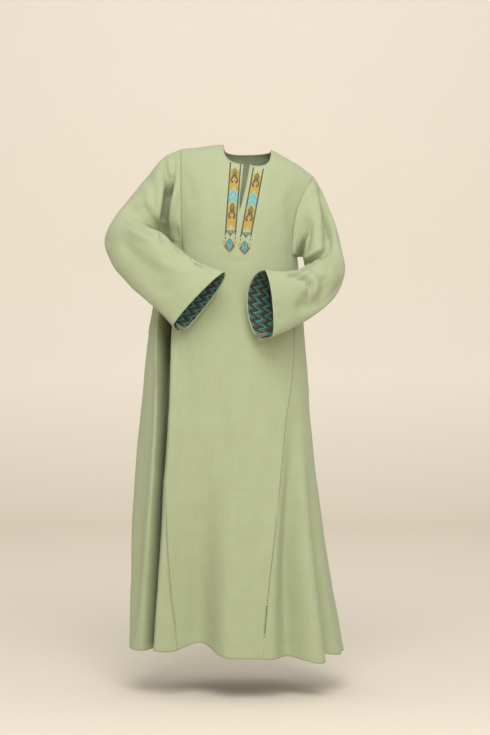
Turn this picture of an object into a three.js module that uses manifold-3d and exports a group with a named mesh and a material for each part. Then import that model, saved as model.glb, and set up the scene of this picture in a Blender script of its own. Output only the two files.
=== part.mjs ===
// A woman's jalabiya in linen, as it hangs when worn: a straight centre front and back, a flared gore on
// each side of each side seam, wide straight sleeves and a patterned facing inside each cuff. It is hollow.
// Millimetres. +X is the wearer's left, +Y the wearer's back and +Z up. The origin is the middle of the
// neck opening, at the height of the shoulder line. Right and left are the wearer's.
import Module from "manifold-3d";
import * as THREE from "three";
import { mergeVertices } from "three/addons/utils/BufferGeometryUtils.js";

// Driving sizes
const CLOTH = 1.6; // wall of linen
const FACING = 1.2; // wall of a cuff facing
const SEAM_GAP = 0.3; // between two pieces at a seam
const SHOULDER_MIDDLE = -4; // x of the panel's centre line at the shoulder
const SHOULDER_HALF = 176; // half the panel's width at the shoulder
const CHEST_ROUNDING = 2.4; // superellipse exponent of the chest from underarm to shoulder
const NECK_HALF = 64; // half the neck's width
const NECK_ROUNDING = 3.2; // superellipse exponent of the neckline
const FRONT_NECK_DROP = 62; // neckline below the shoulder line, at the front
const BACK_NECK_DROP = 20; // and at the back
const NECK_TILT = 8; // how much lower the neckline lies on the wearer's left
const SLIT_BOTTOM = -188; // height of the neck slit's lower end
const SLIT_HALF_GAP = 9.5; // half the slit's gap where it meets the neckline
const SLIT_END = 1.5; // and half of it at its lower end
const SLIT_TOP_X = -6; // its place across, at the neckline
const SLIT_END_X = -26; // and at its lower end
const POCKET_TOP = -408; // the side seam is left open from here
const POCKET_BOTTOM = -525; // to here
const POCKET_GAP = 12; // its widest gap
const VENT_GAP = 20; // gap of the short slit behind the bottom corner of a cuff
const FACING_GAP = 0.5; // between a facing and its sleeve
const FACING_SETBACK = 3; // a facing's edge, from the cuff's

// A short table: the columns' names, then a row for each section or fold.
function table(columns, ...rows) {
  return rows.map((row) => Object.fromEntries(columns.map((name, k) => [name, row[k]])));
}

// The body at some heights: its middle in x, half width, depth before and behind the shoulder line, how much
// higher its right side lies than its middle, and the x of the panels' seams.
const BODY = table(
  ["z", "middle", "half", "front", "back", "tilt", "frontRight", "frontLeft", "backRight", "backLeft"],
  [-270, -40, 169, 122, 104, 20, -177, 114, -172, 108],
  [-330, -44, 178, 126, 106, 19, -183, 117, -176, 109],
  [-413, -52, 196, 130, 112, 18, -196, 119, -182, 106],
  [-525, -58, 210, 138, 126, 16, -208, 119, -190, 100],
  [-720, -61, 226, 147, 142, 14, -209, 97, -194, 90],
  [-939, -57, 243, 156, 154, 12, -209, 74, -190, 80],
  [-1180, -42, 259, 166, 168, 10, -203, 47, -182, 76],
  [-1335, -29, 276, 176, 182, 10, -192, 34, -176, 74],
);
const UNDERARM = BODY[0].z;
const HEM = BODY[BODY.length - 1].z;
const RING_SQUARENESS = 2.25; // superellipse exponent of a level section

// The shoulder line from the wearer's right to left.
const SHOULDER = table(["x", "z"], [-180, -2], [-120, 4], [-68, 9], [0, 7], [60, -6], [118, -36], [172, -76]);

// Folds of the skirt. place is in panels round the body: 0 to 1 the front panel from its right seam to its
// left, 1 to 2 the left front gore, 2 to 3 the left back gore, 3 to 4 the back panel, 4 to 5 the right back
// gore and 5 to 6 the right front gore. Depth is outwards, lean is how far the crest shifts round the body
// for each millimetre of depth, and lift raises the hem.
const FOLDS = table(
  ["topPlace", "hemPlace", "topZ", "fullZ", "topWidth", "hemWidth", "midDepth", "hemDepth", "lean", "lift"],
  [0.33, 0.24, -520, -1335, 170, 150, -14, -58, 0.0, 26],
  [0.58, 0.62, -560, -1335, 150, 150, 8, 14, 0.0, 0],
  [0.98, 1.02, -500, -1000, 70, 80, 5, 10, 0.0, 0],
  [1.12, 1.19, -620, -1200, 70, 105, -13, -26, 0.0, 3],
  [1.34, 1.42, -640, -1250, 70, 110, 12, 30, 0.3, -8],
  [1.6, 1.7, -760, -1300, 60, 96, -16, -44, 0.3, 6],
  [5.52, 5.66, -330, -560, 84, 96, -70, -54, -0.3, 2],
  [5.9, 5.93, -380, -640, 60, 74, 16, 20, -0.4, 0],
  [5.12, 5.22, -520, -1200, 80, 110, 10, 16, 0.0, 0],
  [2.3, 2.24, -430, -1200, 90, 120, 8, 20, 0.0, 0],
  [2.62, 2.6, -470, -1200, 80, 120, -18, -42, 0.2, 8],
  [2.98, 2.95, -520, -1250, 90, 120, 10, 24, 0.3, -3],
  [3.26, 3.2, -400, -1250, 90, 130, -12, -38, 0.0, 8],
  [3.5, 3.47, -430, -1250, 110, 130, 8, 20, 0.0, -2],
  [3.76, 3.78, -480, -1250, 90, 130, -14, -40, -0.2, 8],
  [4.1, 4.12, -420, -1250, 90, 120, 10, 22, -0.2, 0],
  [4.45, 4.45, -380, -1250, 80, 120, -20, -44, 0.2, 8],
  [4.8, 4.78, -460, -1250, 80, 110, 8, 20, 0.0, 0],
);

// Sections of the sleeves. The outer line runs from the shoulder's tip round the outside of the elbow to
// the bottom of the cuff, and the inner line from the underarm through the elbow's crease to the top of the
// cuff. front and back are how far the section stands out from the line between them, and hang
// thins it towards its outer line.
const SLEEVE_COLUMNS = ["outerX", "outerY", "outerZ", "innerX", "innerY", "innerZ", "front", "back", "hang"];
const RIGHT_SLEEVE = table(
  SLEEVE_COLUMNS,
  [-181, 0, -2, -203, 0, -249, 70, 70, 0],
  [-224, -4, -27, -214, -8, -240, 66, 66, 0],
  [-268, -12, -88, -224, -20, -236, 60, 60, 0],
  [-318, -24, -146, -233, -36, -232, 56, 56, 0],
  [-362, -42, -202, -241, -56, -231, 56, 54, 0.05],
  [-379, -66, -256, -243, -78, -235, 56, 52, 0.15],
  [-358, -98, -315, -236, -106, -242, 52, 48, 0.25],
  [-312, -130, -370, -210, -138, -258, 46, 42, 0.35],
  [-262, -158, -414, -168, -166, -288, 38, 40, 0.35],
  [-222, -180, -449, -115, -190, -321, 30, 46, 0.2],
  [-193, -196, -478, -62, -208, -341, 25, 56, 0],
);
const LEFT_SLEEVE = table(
  SLEEVE_COLUMNS,
  [173, 0, -76, 129, 0, -289, 68, 68, 0],
  [198, -5, -118, 136, -12, -288, 64, 64, 0],
  [224, -16, -188, 141, -28, -290, 58, 58, 0],
  [243, -34, -258, 145, -50, -296, 54, 54, 0.05],
  [252, -58, -325, 148, -72, -306, 54, 52, 0.15],
  [238, -88, -378, 146, -98, -316, 52, 48, 0.25],
  [202, -124, -424, 137, -130, -326, 44, 44, 0.32],
  [150, -160, -463, 116, -166, -334, 36, 48, 0.3],
  [104, -190, -488, 84, -198, -339, 28, 60, 0.15],
  [57, -214, -506, 40, -226, -336, 24, 78, 0],
);

// Folds of the sleeves, each a soft line between two places. turn is the share of the way round from the
// outer line over the front, at counts the sections, and depth is outwards.
const CREASE_COLUMNS = ["turn0", "at0", "turn1", "at1", "width", "depth"];
const RIGHT_CREASES = table(
  CREASE_COLUMNS,
  [0.17, 0.9, 0.45, 2.2, 90, -18],
  [0.1, 1.4, 0.32, 2.6, 90, 8],
  [0.46, 4.8, 0.2, 3.5, 90, -15],
  [0.44, 6.6, 0.18, 5.0, 90, 8],
  [0.44, 9.2, 0.36, 8.0, 60, -6],
  [0.2, 8.6, 0.24, 6.4, 90, -7],
  [0.58, 4.6, 0.82, 3.4, 90, -12],
  [0.6, 5.8, 0.86, 5.0, 100, -8],
  [0.62, 1.8, 0.86, 1.0, 90, -14],
);
const LEFT_CREASES = table(
  CREASE_COLUMNS,
  [0.26, 0.9, 0.45, 2.0, 90, -16],
  [0.07, 0.9, 0.2, 3.0, 80, -8],
  [0.46, 4.8, 0.2, 3.4, 90, -14],
  [0.42, 5.9, 0.2, 6.0, 80, -10],
  [0.2, 7.2, 0.08, 5.4, 90, -9],
  [0.58, 4.4, 0.82, 3.4, 90, -12],
  [0.6, 5.6, 0.86, 5.0, 100, -8],
  [0.62, 1.8, 0.86, 1.0, 90, -14],
);

// Meshes
const YOKE_ROWS = 9; // from the neck or shoulder to the underarm
const SKIRT_ROWS = 20; // from the underarm to the hem
const PANEL_COLUMNS = 20;
const NECK_STEPS = 18; // of the neckline, half way round
const GORE_COLUMNS = { 1: 15, 2: 12, 4: 12, 5: 15 };
const GORE_STEP = 3; // sleeve columns take every third column of a gore
const SLEEVE_ROWS = 22;
const VENT_ROWS = 1; // of a sleeve, split behind its outer line
const VENT_PLACE = 2; // columns behind it
const VENT_SHARE = 0.7; // the most of the way to the next column that its sides open
const FACING_ROWS = 3; // of a sleeve, lined by the facing
const RING_SAMPLES = 480;
const CUTTER_DEPTH = 240; // of the block that cuts a neck
const CUTTER_LIFT = 60; // above the shoulder line
const SLEEVE_GIRTH = 430; // for the width of a sleeve's creases
const SLEEVE_PITCH = 56; // between its sections
const PATH_STEP = 0.25; // sections over which its direction is read
const SLEEVE_EASE = 1.6; // sections over which it leaves the armhole's shape

const smooth = (t) => {
  const u = THREE.MathUtils.clamp(t, 0, 1);
  return u * u * (3 - 2 * u);
};
const lerp = THREE.MathUtils.lerp;
const signedPower = (v, e) => Math.sign(v) * Math.abs(v) ** e;

// A column of a table between its rows, on a smooth curve that doesn't overshoot. key is the column that
// orders the rows, or nothing when the rows count 0, 1, 2.
function along(rows, column, at, key) {
  const place = (k) => (key ? rows[k][key] : k);
  const rising = place(1) > place(0) ? 1 : -1;
  let k = 0;
  while (k < rows.length - 2 && rising * at > rising * place(k + 1)) k += 1;
  const slope = (i) => (rows[i + 1][column] - rows[i][column]) / (place(i + 1) - place(i));
  const tangent = (i) => {
    if (i === 0) return slope(0);
    if (i === rows.length - 1) return slope(i - 1);
    const before = slope(i - 1);
    const after = slope(i);
    return before * after <= 0 ? 0 : (2 * before * after) / (before + after);
  };
  const step = place(k + 1) - place(k);
  const t = THREE.MathUtils.clamp((at - place(k)) / step, 0, 1);
  const a = rows[k][column];
  const b = rows[k + 1][column];
  const t2 = t * t;
  const t3 = t2 * t;
  return (
    a * (2 * t3 - 3 * t2 + 1) +
    b * (3 * t2 - 2 * t3) +
    step * (tangent(k) * (t3 - 2 * t2 + t) + tangent(k + 1) * (t3 - t2))
  );
}

// A level section of the body: points round it from the front panel's right seam, how far along each one
// is, and how far along each of the six seams is.
const rings = new Map();
function ring(level) {
  const known = rings.get(level);
  if (known) return known;
  const at = (column) => along(BODY, column, level, "z");
  const middle = at("middle");
  const half = at("half");
  const power = 2 / RING_SQUARENESS;
  const angleOf = (x) => Math.acos(signedPower((x - middle) / half, 1 / power));
  const seams = [
    2 * Math.PI - angleOf(at("frontRight")),
    2 * Math.PI - angleOf(at("frontLeft")),
    2 * Math.PI,
    2 * Math.PI + angleOf(at("backLeft")),
    2 * Math.PI + angleOf(at("backRight")),
    3 * Math.PI,
    4 * Math.PI - angleOf(at("frontRight")),
  ];
  const point = (angle) => {
    const depth = Math.sin(angle) < 0 ? at("front") : at("back");
    return new THREE.Vector2(
      middle + half * signedPower(Math.cos(angle), power),
      depth * signedPower(Math.sin(angle), power),
    );
  };
  const shares = Array.from({ length: RING_SAMPLES + 1 }, (_, k) => k / RING_SAMPLES);
  const angles = shares.map((share) => lerp(seams[0], seams[6], share));
  const points = angles.map(point);
  const lengths = [0];
  for (let k = 1; k < points.length; k += 1)
    lengths.push(lengths[k - 1] + points[k].distanceTo(points[k - 1]));
  const lengthAt = (angle) => {
    const at = ((angle - seams[0]) / (seams[6] - seams[0])) * RING_SAMPLES;
    const k = Math.min(Math.floor(at), RING_SAMPLES - 1);
    return lerp(lengths[k], lengths[k + 1], at - k);
  };
  const made = { points, lengths, seams: seams.map(lengthAt), middle, half, tilt: at("tilt") };
  rings.set(level, made);
  return made;
}

// Where a place round the body, 0 to 6, lies along a section.
function lengthOf(section, place) {
  const turn = Math.floor(place / 6);
  const within = place - 6 * turn;
  const k = Math.min(Math.floor(within), 5);
  return lerp(section.seams[k], section.seams[k + 1], within - k) + turn * section.seams[6];
}

// The plain section's point and outward direction at a length along it.
function plainPoint(section, length) {
  const total = section.seams[6];
  const at = ((length % total) + total) % total;
  let low = 0;
  let high = section.lengths.length - 1;
  while (high - low > 1) {
    const mid = (low + high) >> 1;
    if (section.lengths[mid] <= at) low = mid;
    else high = mid;
  }
  const share = (at - section.lengths[low]) / (section.lengths[high] - section.lengths[low]);
  const tangent = section.points[high].clone().sub(section.points[low]).normalize();
  return {
    point: section.points[low].clone().lerp(section.points[high], share),
    tangent,
    outward: new THREE.Vector2(tangent.y, -tangent.x),
  };
}

// A point of the skirt: place 0 to 6 round the body, level from the underarm to the hem.
function skirtPoint(place, level) {
  const section = ring(level);
  const length = lengthOf(section, place);
  const total = section.seams[6];
  const { point, tangent, outward } = plainPoint(section, length);
  let lift = 0;
  for (const fold of FOLDS) {
    const down = smooth((fold.topZ - level) / (fold.topZ - fold.fullZ));
    if (down === 0) continue;
    const share = (fold.topZ - level) / (fold.topZ - HEM);
    const depth = down * lerp(fold.midDepth, fold.hemDepth, smooth(share));
    const width = lerp(fold.topWidth, fold.hemWidth, share);
    const centre = lengthOf(section, lerp(fold.topPlace, fold.hemPlace, share));
    const off = ((((length - centre) % total) + 1.5 * total) % total) - total / 2;
    const bump = Math.abs(off) < width / 2 ? (1 + Math.cos((2 * Math.PI * off) / width)) / 2 : 0;
    point.addScaledVector(outward, depth * bump).addScaledVector(tangent, depth * bump * fold.lean);
    lift += fold.lift * bump * smooth(share) * smooth(share);
  }
  const tilt = (section.tilt * (section.middle - point.x)) / section.half;
  return new THREE.Vector3(point.x, point.y, level + tilt + lift);
}

const YOKE_LAG = 1.3; // above 1, a seam stays over its underarm end for longer
const LEFT_LAG = 1.2; // and this much longer on the wearer's left

// A point of a panel above the underarm. side is 1 for the front and -1 for the back, across runs from -1
// at the wearer's right seam to 1 at the left, and turn from 0 at the underarm to 1 at the shoulder line.
function yokePoint(side, across, turn) {
  const low = skirtPoint(side > 0 ? (across + 1) / 2 : 3.5 - across / 2, UNDERARM);
  const x = SHOULDER_MIDDLE + SHOULDER_HALF * across;
  const top = along(SHOULDER, "z", x, "x");
  const angle = (turn * Math.PI) / 2;
  const rise = Math.sin(angle) ** (2 / CHEST_ROUNDING);
  const inward = Math.cos(angle) ** (2 / CHEST_ROUNDING);
  const follow = rise ** (YOKE_LAG + LEFT_LAG * Math.max(across, 0));
  return new THREE.Vector3(lerp(low.x, x, follow), low.y * inward, lerp(low.z, top, rise));
}

// A closed wall from a sheet of quads: its outer points, their outward normals and its thickness.
function wall(points, normals, quads, thickness) {
  const n = points.length;
  const position = new Float32Array(6 * n);
  points.forEach((p, k) => {
    p.toArray(position, 3 * k);
    p.clone().addScaledVector(normals[k], -thickness).toArray(position, 3 * (n + k));
  });
  let facing = 0;
  const faces = quads.map(([a, b, c, d]) => {
    const up = points[b].clone().sub(points[a]).cross(points[d].clone().sub(points[a]));
    facing += Math.sign(up.dot(normals[a]));
    const short = points[a].distanceTo(points[c]) <= points[b].distanceTo(points[d]);
    return short ? [[a, b, c], [a, c, d]] : [[a, b, d], [b, c, d]];
  });
  const turned = facing < 0;
  const outer = faces.flat().map((f) => (turned ? [f[0], f[2], f[1]] : f));
  const open = new Map();
  for (const f of outer)
    for (let k = 0; k < 3; k += 1) {
      const from = f[k];
      const to = f[(k + 1) % 3];
      if (!open.delete(`${to},${from}`)) open.set(`${from},${to}`, [from, to]);
    }
  const index = outer.flat();
  for (const [a, b, c] of outer) index.push(n + a, n + c, n + b);
  for (const [a, b] of open.values()) index.push(b, a, n + a, b, n + a, n + b);
  const geometry = new THREE.BufferGeometry();
  geometry.setAttribute("position", new THREE.BufferAttribute(position, 3));
  geometry.setIndex(index);
  return geometry;
}

// The outward normal of a surface given as a function of two parameters, by small steps; outside is a point
// function that says which way is out.
function normalOf(surface, u, v, du, dv, outwards) {
  const across = surface(u + du, v).sub(surface(u - du, v));
  const down = surface(u, v + dv).sub(surface(u, v - dv));
  const normal = across.cross(down).normalize();
  return normal.dot(outwards) < 0 ? normal.negate() : normal;
}

const STEP = 1e-3; // of a surface's parameters, for its normal
const EDGE = 1e-4; // kept from the ends of a yoke's rows
const chestMiddle = (level) => new THREE.Vector3(along(BODY, "middle", level, "z"), 0, level);

function skirtNormal(place, level) {
  const { outward } = plainPoint(ring(level), lengthOf(ring(level), place));
  const surface = (u, v) => skirtPoint(u, THREE.MathUtils.clamp(v, HEM, UNDERARM));
  return normalOf(surface, place, level, STEP, 1, new THREE.Vector3(outward.x, outward.y, 0));
}

function yokeNormal(side, across, turn) {
  const surface = (u, v) =>
    yokePoint(side, THREE.MathUtils.clamp(u, -1, 1), THREE.MathUtils.clamp(v, EDGE, 1 - EDGE));
  const out = surface(across, turn).sub(chestMiddle(UNDERARM));
  return normalOf(surface, across, turn, STEP, STEP, out);
}

// The front or back panel, from the shoulder line to the hem, before its neck is cut.
function panel(side) {
  const rows = YOKE_ROWS + SKIRT_ROWS;
  const points = [];
  const normals = [];
  const ids = [];
  for (let r = 0; r <= rows; r += 1) {
    ids.push([]);
    for (let c = 0; c <= PANEL_COLUMNS; c += 1) {
      const across = (2 * c) / PANEL_COLUMNS - 1;
      const turn = 1 - r / YOKE_ROWS;
      const level = lerp(UNDERARM, HEM, Math.max(0, r - YOKE_ROWS) / SKIRT_ROWS);
      const place = placeOf(side, across);
      ids[r].push(points.length);
      points.push(turn > 0 ? yokePoint(side, across, turn) : skirtPoint(place, level));
      normals.push(turn > 0 ? yokeNormal(side, across, turn) : skirtNormal(place, level));
      if (r === 0) points[c].y = (-side * SEAM_GAP) / 2;
    }
  }
  bisect(points, normals, ids);
  insetSides(points, normals, ids);
  return wall(points, normals, gridQuads(ids), CLOTH);
}

// The neck's outline as seen from the front, for the front panel with its slit or for the back panel.
function neckOutline(side) {
  const drop = side > 0 ? FRONT_NECK_DROP : BACK_NECK_DROP;
  const tilt = side > 0 ? NECK_TILT : 0;
  const ridge = (x) => along(SHOULDER, "z", x, "x");
  const points = [];
  for (let k = 0; k <= 2 * NECK_STEPS; k += 1) {
    const angle = (Math.PI / 2) * (k / NECK_STEPS - 1);
    const across = signedPower(Math.sin(angle), 2 / NECK_ROUNDING);
    const scoop = Math.cos(angle) ** (2 / NECK_ROUNDING);
    const x = SHOULDER_MIDDLE + NECK_HALF * across;
    const z = lerp(ridge(x), ridge(SHOULDER_MIDDLE) - drop - tilt * across, scoop);
    points.push(new THREE.Vector2(x, z));
  }
  if (side > 0) {
    const low = ridge(SHOULDER_MIDDLE) - drop;
    const left = points.filter((p) => p.x < SLIT_TOP_X - SLIT_HALF_GAP);
    const right = points.filter((p) => p.x > SLIT_TOP_X + SLIT_HALF_GAP);
    points.length = 0;
    points.push(...left, new THREE.Vector2(SLIT_TOP_X - SLIT_HALF_GAP, low));
    points.push(new THREE.Vector2(SLIT_END_X - SLIT_END, SLIT_BOTTOM));
    points.push(new THREE.Vector2(SLIT_END_X + SLIT_END, SLIT_BOTTOM));
    points.push(new THREE.Vector2(SLIT_TOP_X + SLIT_HALF_GAP, low), ...right);
  }
  const lift = new THREE.Vector2(0, CUTTER_LIFT);
  return [...points, points[points.length - 1].clone().add(lift), points[0].clone().add(lift)];
}

const wasm = await Module();
wasm.setup();

// A closed geometry as a solid that can be cut. Its corners are shared already.
function solidOf(geometry) {
  const vertProperties = Float32Array.from(geometry.attributes.position.array);
  const triVerts = Uint32Array.from(geometry.index.array);
  return new wasm.Manifold(new wasm.Mesh({ numProp: 3, vertProperties, triVerts }));
}

// A panel with its neck cut out.
function cutPanel(side) {
  const outline = new THREE.Shape(neckOutline(side));
  const block = new THREE.ExtrudeGeometry(outline, { depth: CUTTER_DEPTH, bevelEnabled: false });
  block.rotateX(Math.PI / 2);
  if (side < 0) block.translate(0, CUTTER_DEPTH, 0);
  block.deleteAttribute("normal");
  block.deleteAttribute("uv");
  const mesh = solidOf(panel(side)).subtract(solidOf(mergeVertices(block))).getMesh();
  const geometry = new THREE.BufferGeometry();
  geometry.setAttribute("position", new THREE.BufferAttribute(Float32Array.from(mesh.vertProperties), 3));
  geometry.setIndex([...mesh.triVerts]);
  return geometry;
}

const placeOf = (side, across) => (side > 0 ? (across + 1) / 2 : 3.5 - across / 2);

// The quads of a grid of point numbers, without the columns that skip names.
function gridQuads(ids, skip = () => false) {
  const quads = [];
  for (let r = 0; r + 1 < ids.length; r += 1)
    for (let c = 0; c + 1 < ids[r].length; c += 1)
      if (!skip(r, c)) quads.push([ids[r][c], ids[r][c + 1], ids[r + 1][c + 1], ids[r + 1][c]]);
  return quads;
}

// Moves a sheet's first and last columns in by half a seam's gap.
function insetSides(points, normals, ids, gapAt = () => SEAM_GAP / 2) {
  ids.forEach((row, r) => {
    for (const [edge, next] of [
      [row[0], row[1]],
      [row[row.length - 1], row[row.length - 2]],
    ]) {
      const inward = points[next].clone().sub(points[edge]);
      inward.addScaledVector(normals[edge], -inward.dot(normals[edge])).normalize();
      points[edge].addScaledVector(inward, gapAt(r, edge === row[0]));
    }
  });
}

// Turns a sheet's outward directions to halve the angle between the quads on each side, apart from those of
// its first row and its sides, which its neighbours share. Narrow valleys keep their wall's thickness so.
function bisect(points, normals, ids) {
  const step = (a, b) => points[b].clone().sub(points[a]).normalize();
  const inner = [];
  let agreed = 0;
  for (let r = 1; r < ids.length; r += 1)
    for (let c = 1; c + 1 < ids[r].length; c += 1) {
      const k = ids[r][c];
      const across = step(ids[r][c - 1], k).add(step(k, ids[r][c + 1]));
      const down = step(ids[r - 1][c], k);
      if (r + 1 < ids.length) down.add(step(k, ids[r + 1][c]));
      const normal = across.cross(down).normalize();
      agreed += Math.sign(normal.dot(normals[k]));
      inner.push([k, normal]);
    }
  for (const [k, normal] of inner) normals[k].copy(agreed < 0 ? normal.negate() : normal);
}

// How far each edge of a side seam stands back from it: a lens-shaped slit at the hip.
function pocketHalfGap(level) {
  const share = (POCKET_TOP - level) / (POCKET_TOP - POCKET_BOTTOM);
  return share > 0 && share < 1 ? (POCKET_GAP / 2) * Math.sin(Math.PI * share) : 0;
}

const PANEL_SEAMS = [1, 3, 4, 6]; // places of the gores' seams to a panel
const UNDERARM_TURN = 3.5; // how soon the wall turns down beside them

// The wall's direction along a gore's top edge, halfway between the gore and the sleeve that it meets.
function underarmNormal(place) {
  const plain = skirtNormal(place, UNDERARM);
  const fromPanel = Math.min(...PANEL_SEAMS.map((seam) => Math.abs(place - seam)));
  return plain.add(new THREE.Vector3(0, 0, -smooth(fromPanel * UNDERARM_TURN))).normalize();
}

// One of the four gores, k its place round the body.
function gore(k) {
  const count = GORE_COLUMNS[k];
  const points = [];
  const normals = [];
  const ids = [];
  for (let r = 0; r <= SKIRT_ROWS; r += 1) {
    const level = lerp(UNDERARM, HEM, r / SKIRT_ROWS);
    ids.push([]);
    for (let c = 0; c <= count; c += 1) {
      const place = k + c / count;
      ids[r].push(points.length);
      points.push(skirtPoint(place, level));
      normals.push(r === 0 ? underarmNormal(place) : skirtNormal(place, level));
    }
  }
  for (let c = 0; c <= count; c += 1) points[c].z -= SEAM_GAP;
  for (let c = 0; c < count; c += 1) {
    const from = c - (c % GORE_STEP);
    const share = (c - from) / GORE_STEP;
    points[c].lerpVectors(points[from], points[from + GORE_STEP], share);
    normals[c].lerpVectors(normals[from], normals[from + GORE_STEP], share);
  }
  bisect(points, normals, ids);
  insetSides(points, normals, ids, (r, first) => {
    const pocket = k === (first ? 5 : 4) ? pocketHalfGap(lerp(UNDERARM, HEM, r / SKIRT_ROWS)) : 0;
    return SEAM_GAP / 2 + pocket;
  });
  return wall(points, normals, gridQuads(ids), CLOTH);
}

// The edge that a sleeve is sewn to, from the shoulder's tip down the front panel, along the gores' tops
// and up the back panel. hand is -1 for the wearer's right sleeve and 1 for the left.
function armhole(hand) {
  const loop = [];
  const panelEdge = (side, turns) => {
    for (const turn of turns)
      loop.push({
        point: yokePoint(side, hand, turn),
        normal: turn > 0 ? yokeNormal(side, hand, turn) : skirtNormal(placeOf(side, hand), UNDERARM),
      });
  };
  const goreTop = (k, reversed) => {
    const count = GORE_COLUMNS[k];
    const steps = [];
    for (let c = GORE_STEP; c < count; c += GORE_STEP) steps.push(c);
    steps.push(count);
    for (const c of steps) {
      const place = reversed ? k + 1 - c / count : k + c / count;
      loop.push({ point: skirtPoint(place, UNDERARM), normal: underarmNormal(place) });
    }
  };
  const down = Array.from({ length: YOKE_ROWS + 1 }, (_, r) => 1 - r / YOKE_ROWS);
  panelEdge(1, down);
  goreTop(hand < 0 ? 5 : 1, hand < 0);
  goreTop(hand < 0 ? 4 : 2, hand < 0);
  panelEdge(-1, down.slice(1, -1).reverse());
  return loop;
}

// A sleeve's plain shape, a point for the turn round it and the count of sections along it.
function sleeveShape(sections, hand) {
  const loop = armhole(hand);
  const lengths = [0];
  loop.forEach((v, k) => lengths.push(lengths[k] + v.point.distanceTo(loop[(k + 1) % loop.length].point)));
  const turns = loop.map((_, k) => lengths[k] / lengths[loop.length]);
  const last = sections.length - 1;
  const read = (name, at) =>
    new THREE.Vector3(
      along(sections, `${name}X`, at),
      along(sections, `${name}Y`, at),
      along(sections, `${name}Z`, at),
    );
  const section = (at) => {
    const outer = read("outer", at);
    const inner = read("inner", at);
    const before = Math.max(0, at - PATH_STEP);
    const after = Math.min(last, at + PATH_STEP);
    const path = read("outer", after).add(read("inner", after));
    path.sub(read("outer", before)).sub(read("inner", before));
    const axis = outer.clone().sub(inner);
    const across = path.cross(axis).normalize();
    if (across.y > 0) across.negate();
    return { middle: outer.add(inner).multiplyScalar(0.5), axis, across };
  };
  const point = (turn, at) => {
    const { middle, axis, across } = section(at);
    const angle = 2 * Math.PI * turn;
    const thick = along(sections, Math.sin(angle) > 0 ? "front" : "back", at);
    const hang = along(sections, "hang", at);
    return middle
      .addScaledVector(axis, Math.cos(angle) / 2)
      .addScaledVector(across, thick * Math.sin(angle) * (1 - hang * Math.cos(angle)));
  };
  return { loop, turns, last, point, section };
}

// How far the creases push a place on a sleeve outwards.
function creaseDepth(creases, turn, at) {
  let depth = 0;
  for (const c of creases) {
    const ax = (turn - c.turn0) * SLEEVE_GIRTH;
    const ay = (at - c.at0) * SLEEVE_PITCH;
    const bx = (c.turn1 - c.turn0) * SLEEVE_GIRTH;
    const by = (c.at1 - c.at0) * SLEEVE_PITCH;
    const share = THREE.MathUtils.clamp((ax * bx + ay * by) / (bx * bx + by * by), 0, 1);
    const off = Math.hypot(ax - share * bx, ay - share * by);
    if (off < c.width / 2) depth += (c.depth * (1 + Math.cos((2 * Math.PI * off) / c.width))) / 2;
  }
  return depth;
}

// A sleeve's grid of points and outward normals.
function sleeveGrid(sections, creases, hand) {
  const { loop, turns, last, point, section } = sleeveShape(sections, hand);
  const count = loop.length;
  const rows = [];
  for (let r = 0; r <= SLEEVE_ROWS; r += 1) {
    const at = (last * r) / SLEEVE_ROWS;
    const free = smooth(at / SLEEVE_EASE);
    rows.push(
      turns.map((turn, k) => {
        const place = point(turn, at);
        const shape = (u, v) => point(u, THREE.MathUtils.clamp(v, 0, last));
        const out = normalOf(shape, turn, at, STEP, STEP, place.clone().sub(section(at).middle));
        place.addScaledVector(out, creaseDepth(creases, turn, at) * free);
        const fit = loop[k].point.clone().sub(point(turn, 0));
        return place.addScaledVector(fit, 1 - free);
      }),
    );
  }
  const normals = rows.map((row, r) =>
    row.map((p, k) => {
      if (r === 0) return loop[k].normal.clone();
      const round = row[(k + 1) % count].clone().sub(row[(k + count - 1) % count]);
      const next = rows[Math.min(r + 1, SLEEVE_ROWS)][k].clone().sub(rows[r - 1][k]);
      const normal = round.cross(next).normalize();
      const outwards = p.clone().sub(section((last * r) / SLEEVE_ROWS).middle);
      return normal.dot(outwards) < 0 ? normal.negate() : normal;
    }),
  );
  loop.forEach((v, k) => {
    const tangent = loop[(k + 1) % count].point.clone().sub(loop[(k + count - 1) % count].point);
    const away = tangent.cross(v.normal).normalize();
    const towards = rows[1][k].clone().sub(v.point);
    rows[0][k].addScaledVector(away, SEAM_GAP * Math.sign(away.dot(towards)));
  });
  return { rows, normals, count };
}

// The wall over some of a sleeve's rows, set in from its outer face, with the vent open at the cuff.
function sleeveWall({ rows, normals, count }, firstRow, inset, thickness, setback) {
  const points = [];
  const outwards = [];
  const ids = [];
  for (let r = firstRow; r <= SLEEVE_ROWS; r += 1) {
    const open = r > SLEEVE_ROWS - VENT_ROWS ? VENT_GAP / 2 + setback : 0;
    const line = [];
    for (let k = 0; k <= count; k += 1) {
      if (k === count && !open) {
        line.push(line[0]);
        continue;
      }
      const j = (k + count - VENT_PLACE) % count;
      const p = rows[r][j].clone().addScaledVector(normals[r][j], -inset);
      if (r === SLEEVE_ROWS) p.addScaledVector(rows[r - 1][j].clone().sub(rows[r][j]).normalize(), setback);
      if (k % count === 0 && open) {
        const beside = rows[r][(k === 0 ? j + 1 : j - 1) % count].clone().sub(rows[r][j]);
        p.addScaledVector(beside, Math.min(open / beside.length(), VENT_SHARE));
      }
      line.push(points.length);
      points.push(p);
      outwards.push(normals[r][j]);
    }
    ids.push(line);
  }
  return wall(points, outwards, gridQuads(ids), thickness);
}

const LINEN = new THREE.MeshStandardMaterial({ color: 0xbec59c, roughness: 0.85, metalness: 0 });
const CHARCOAL = new THREE.MeshStandardMaterial({ color: 0x3c3b37, roughness: 0.9, metalness: 0 });

const jalabiya = new THREE.Group();
function add(name, geometry, material = LINEN) {
  const mesh = new THREE.Mesh(geometry, material);
  mesh.name = name;
  jalabiya.add(mesh);
}

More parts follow.
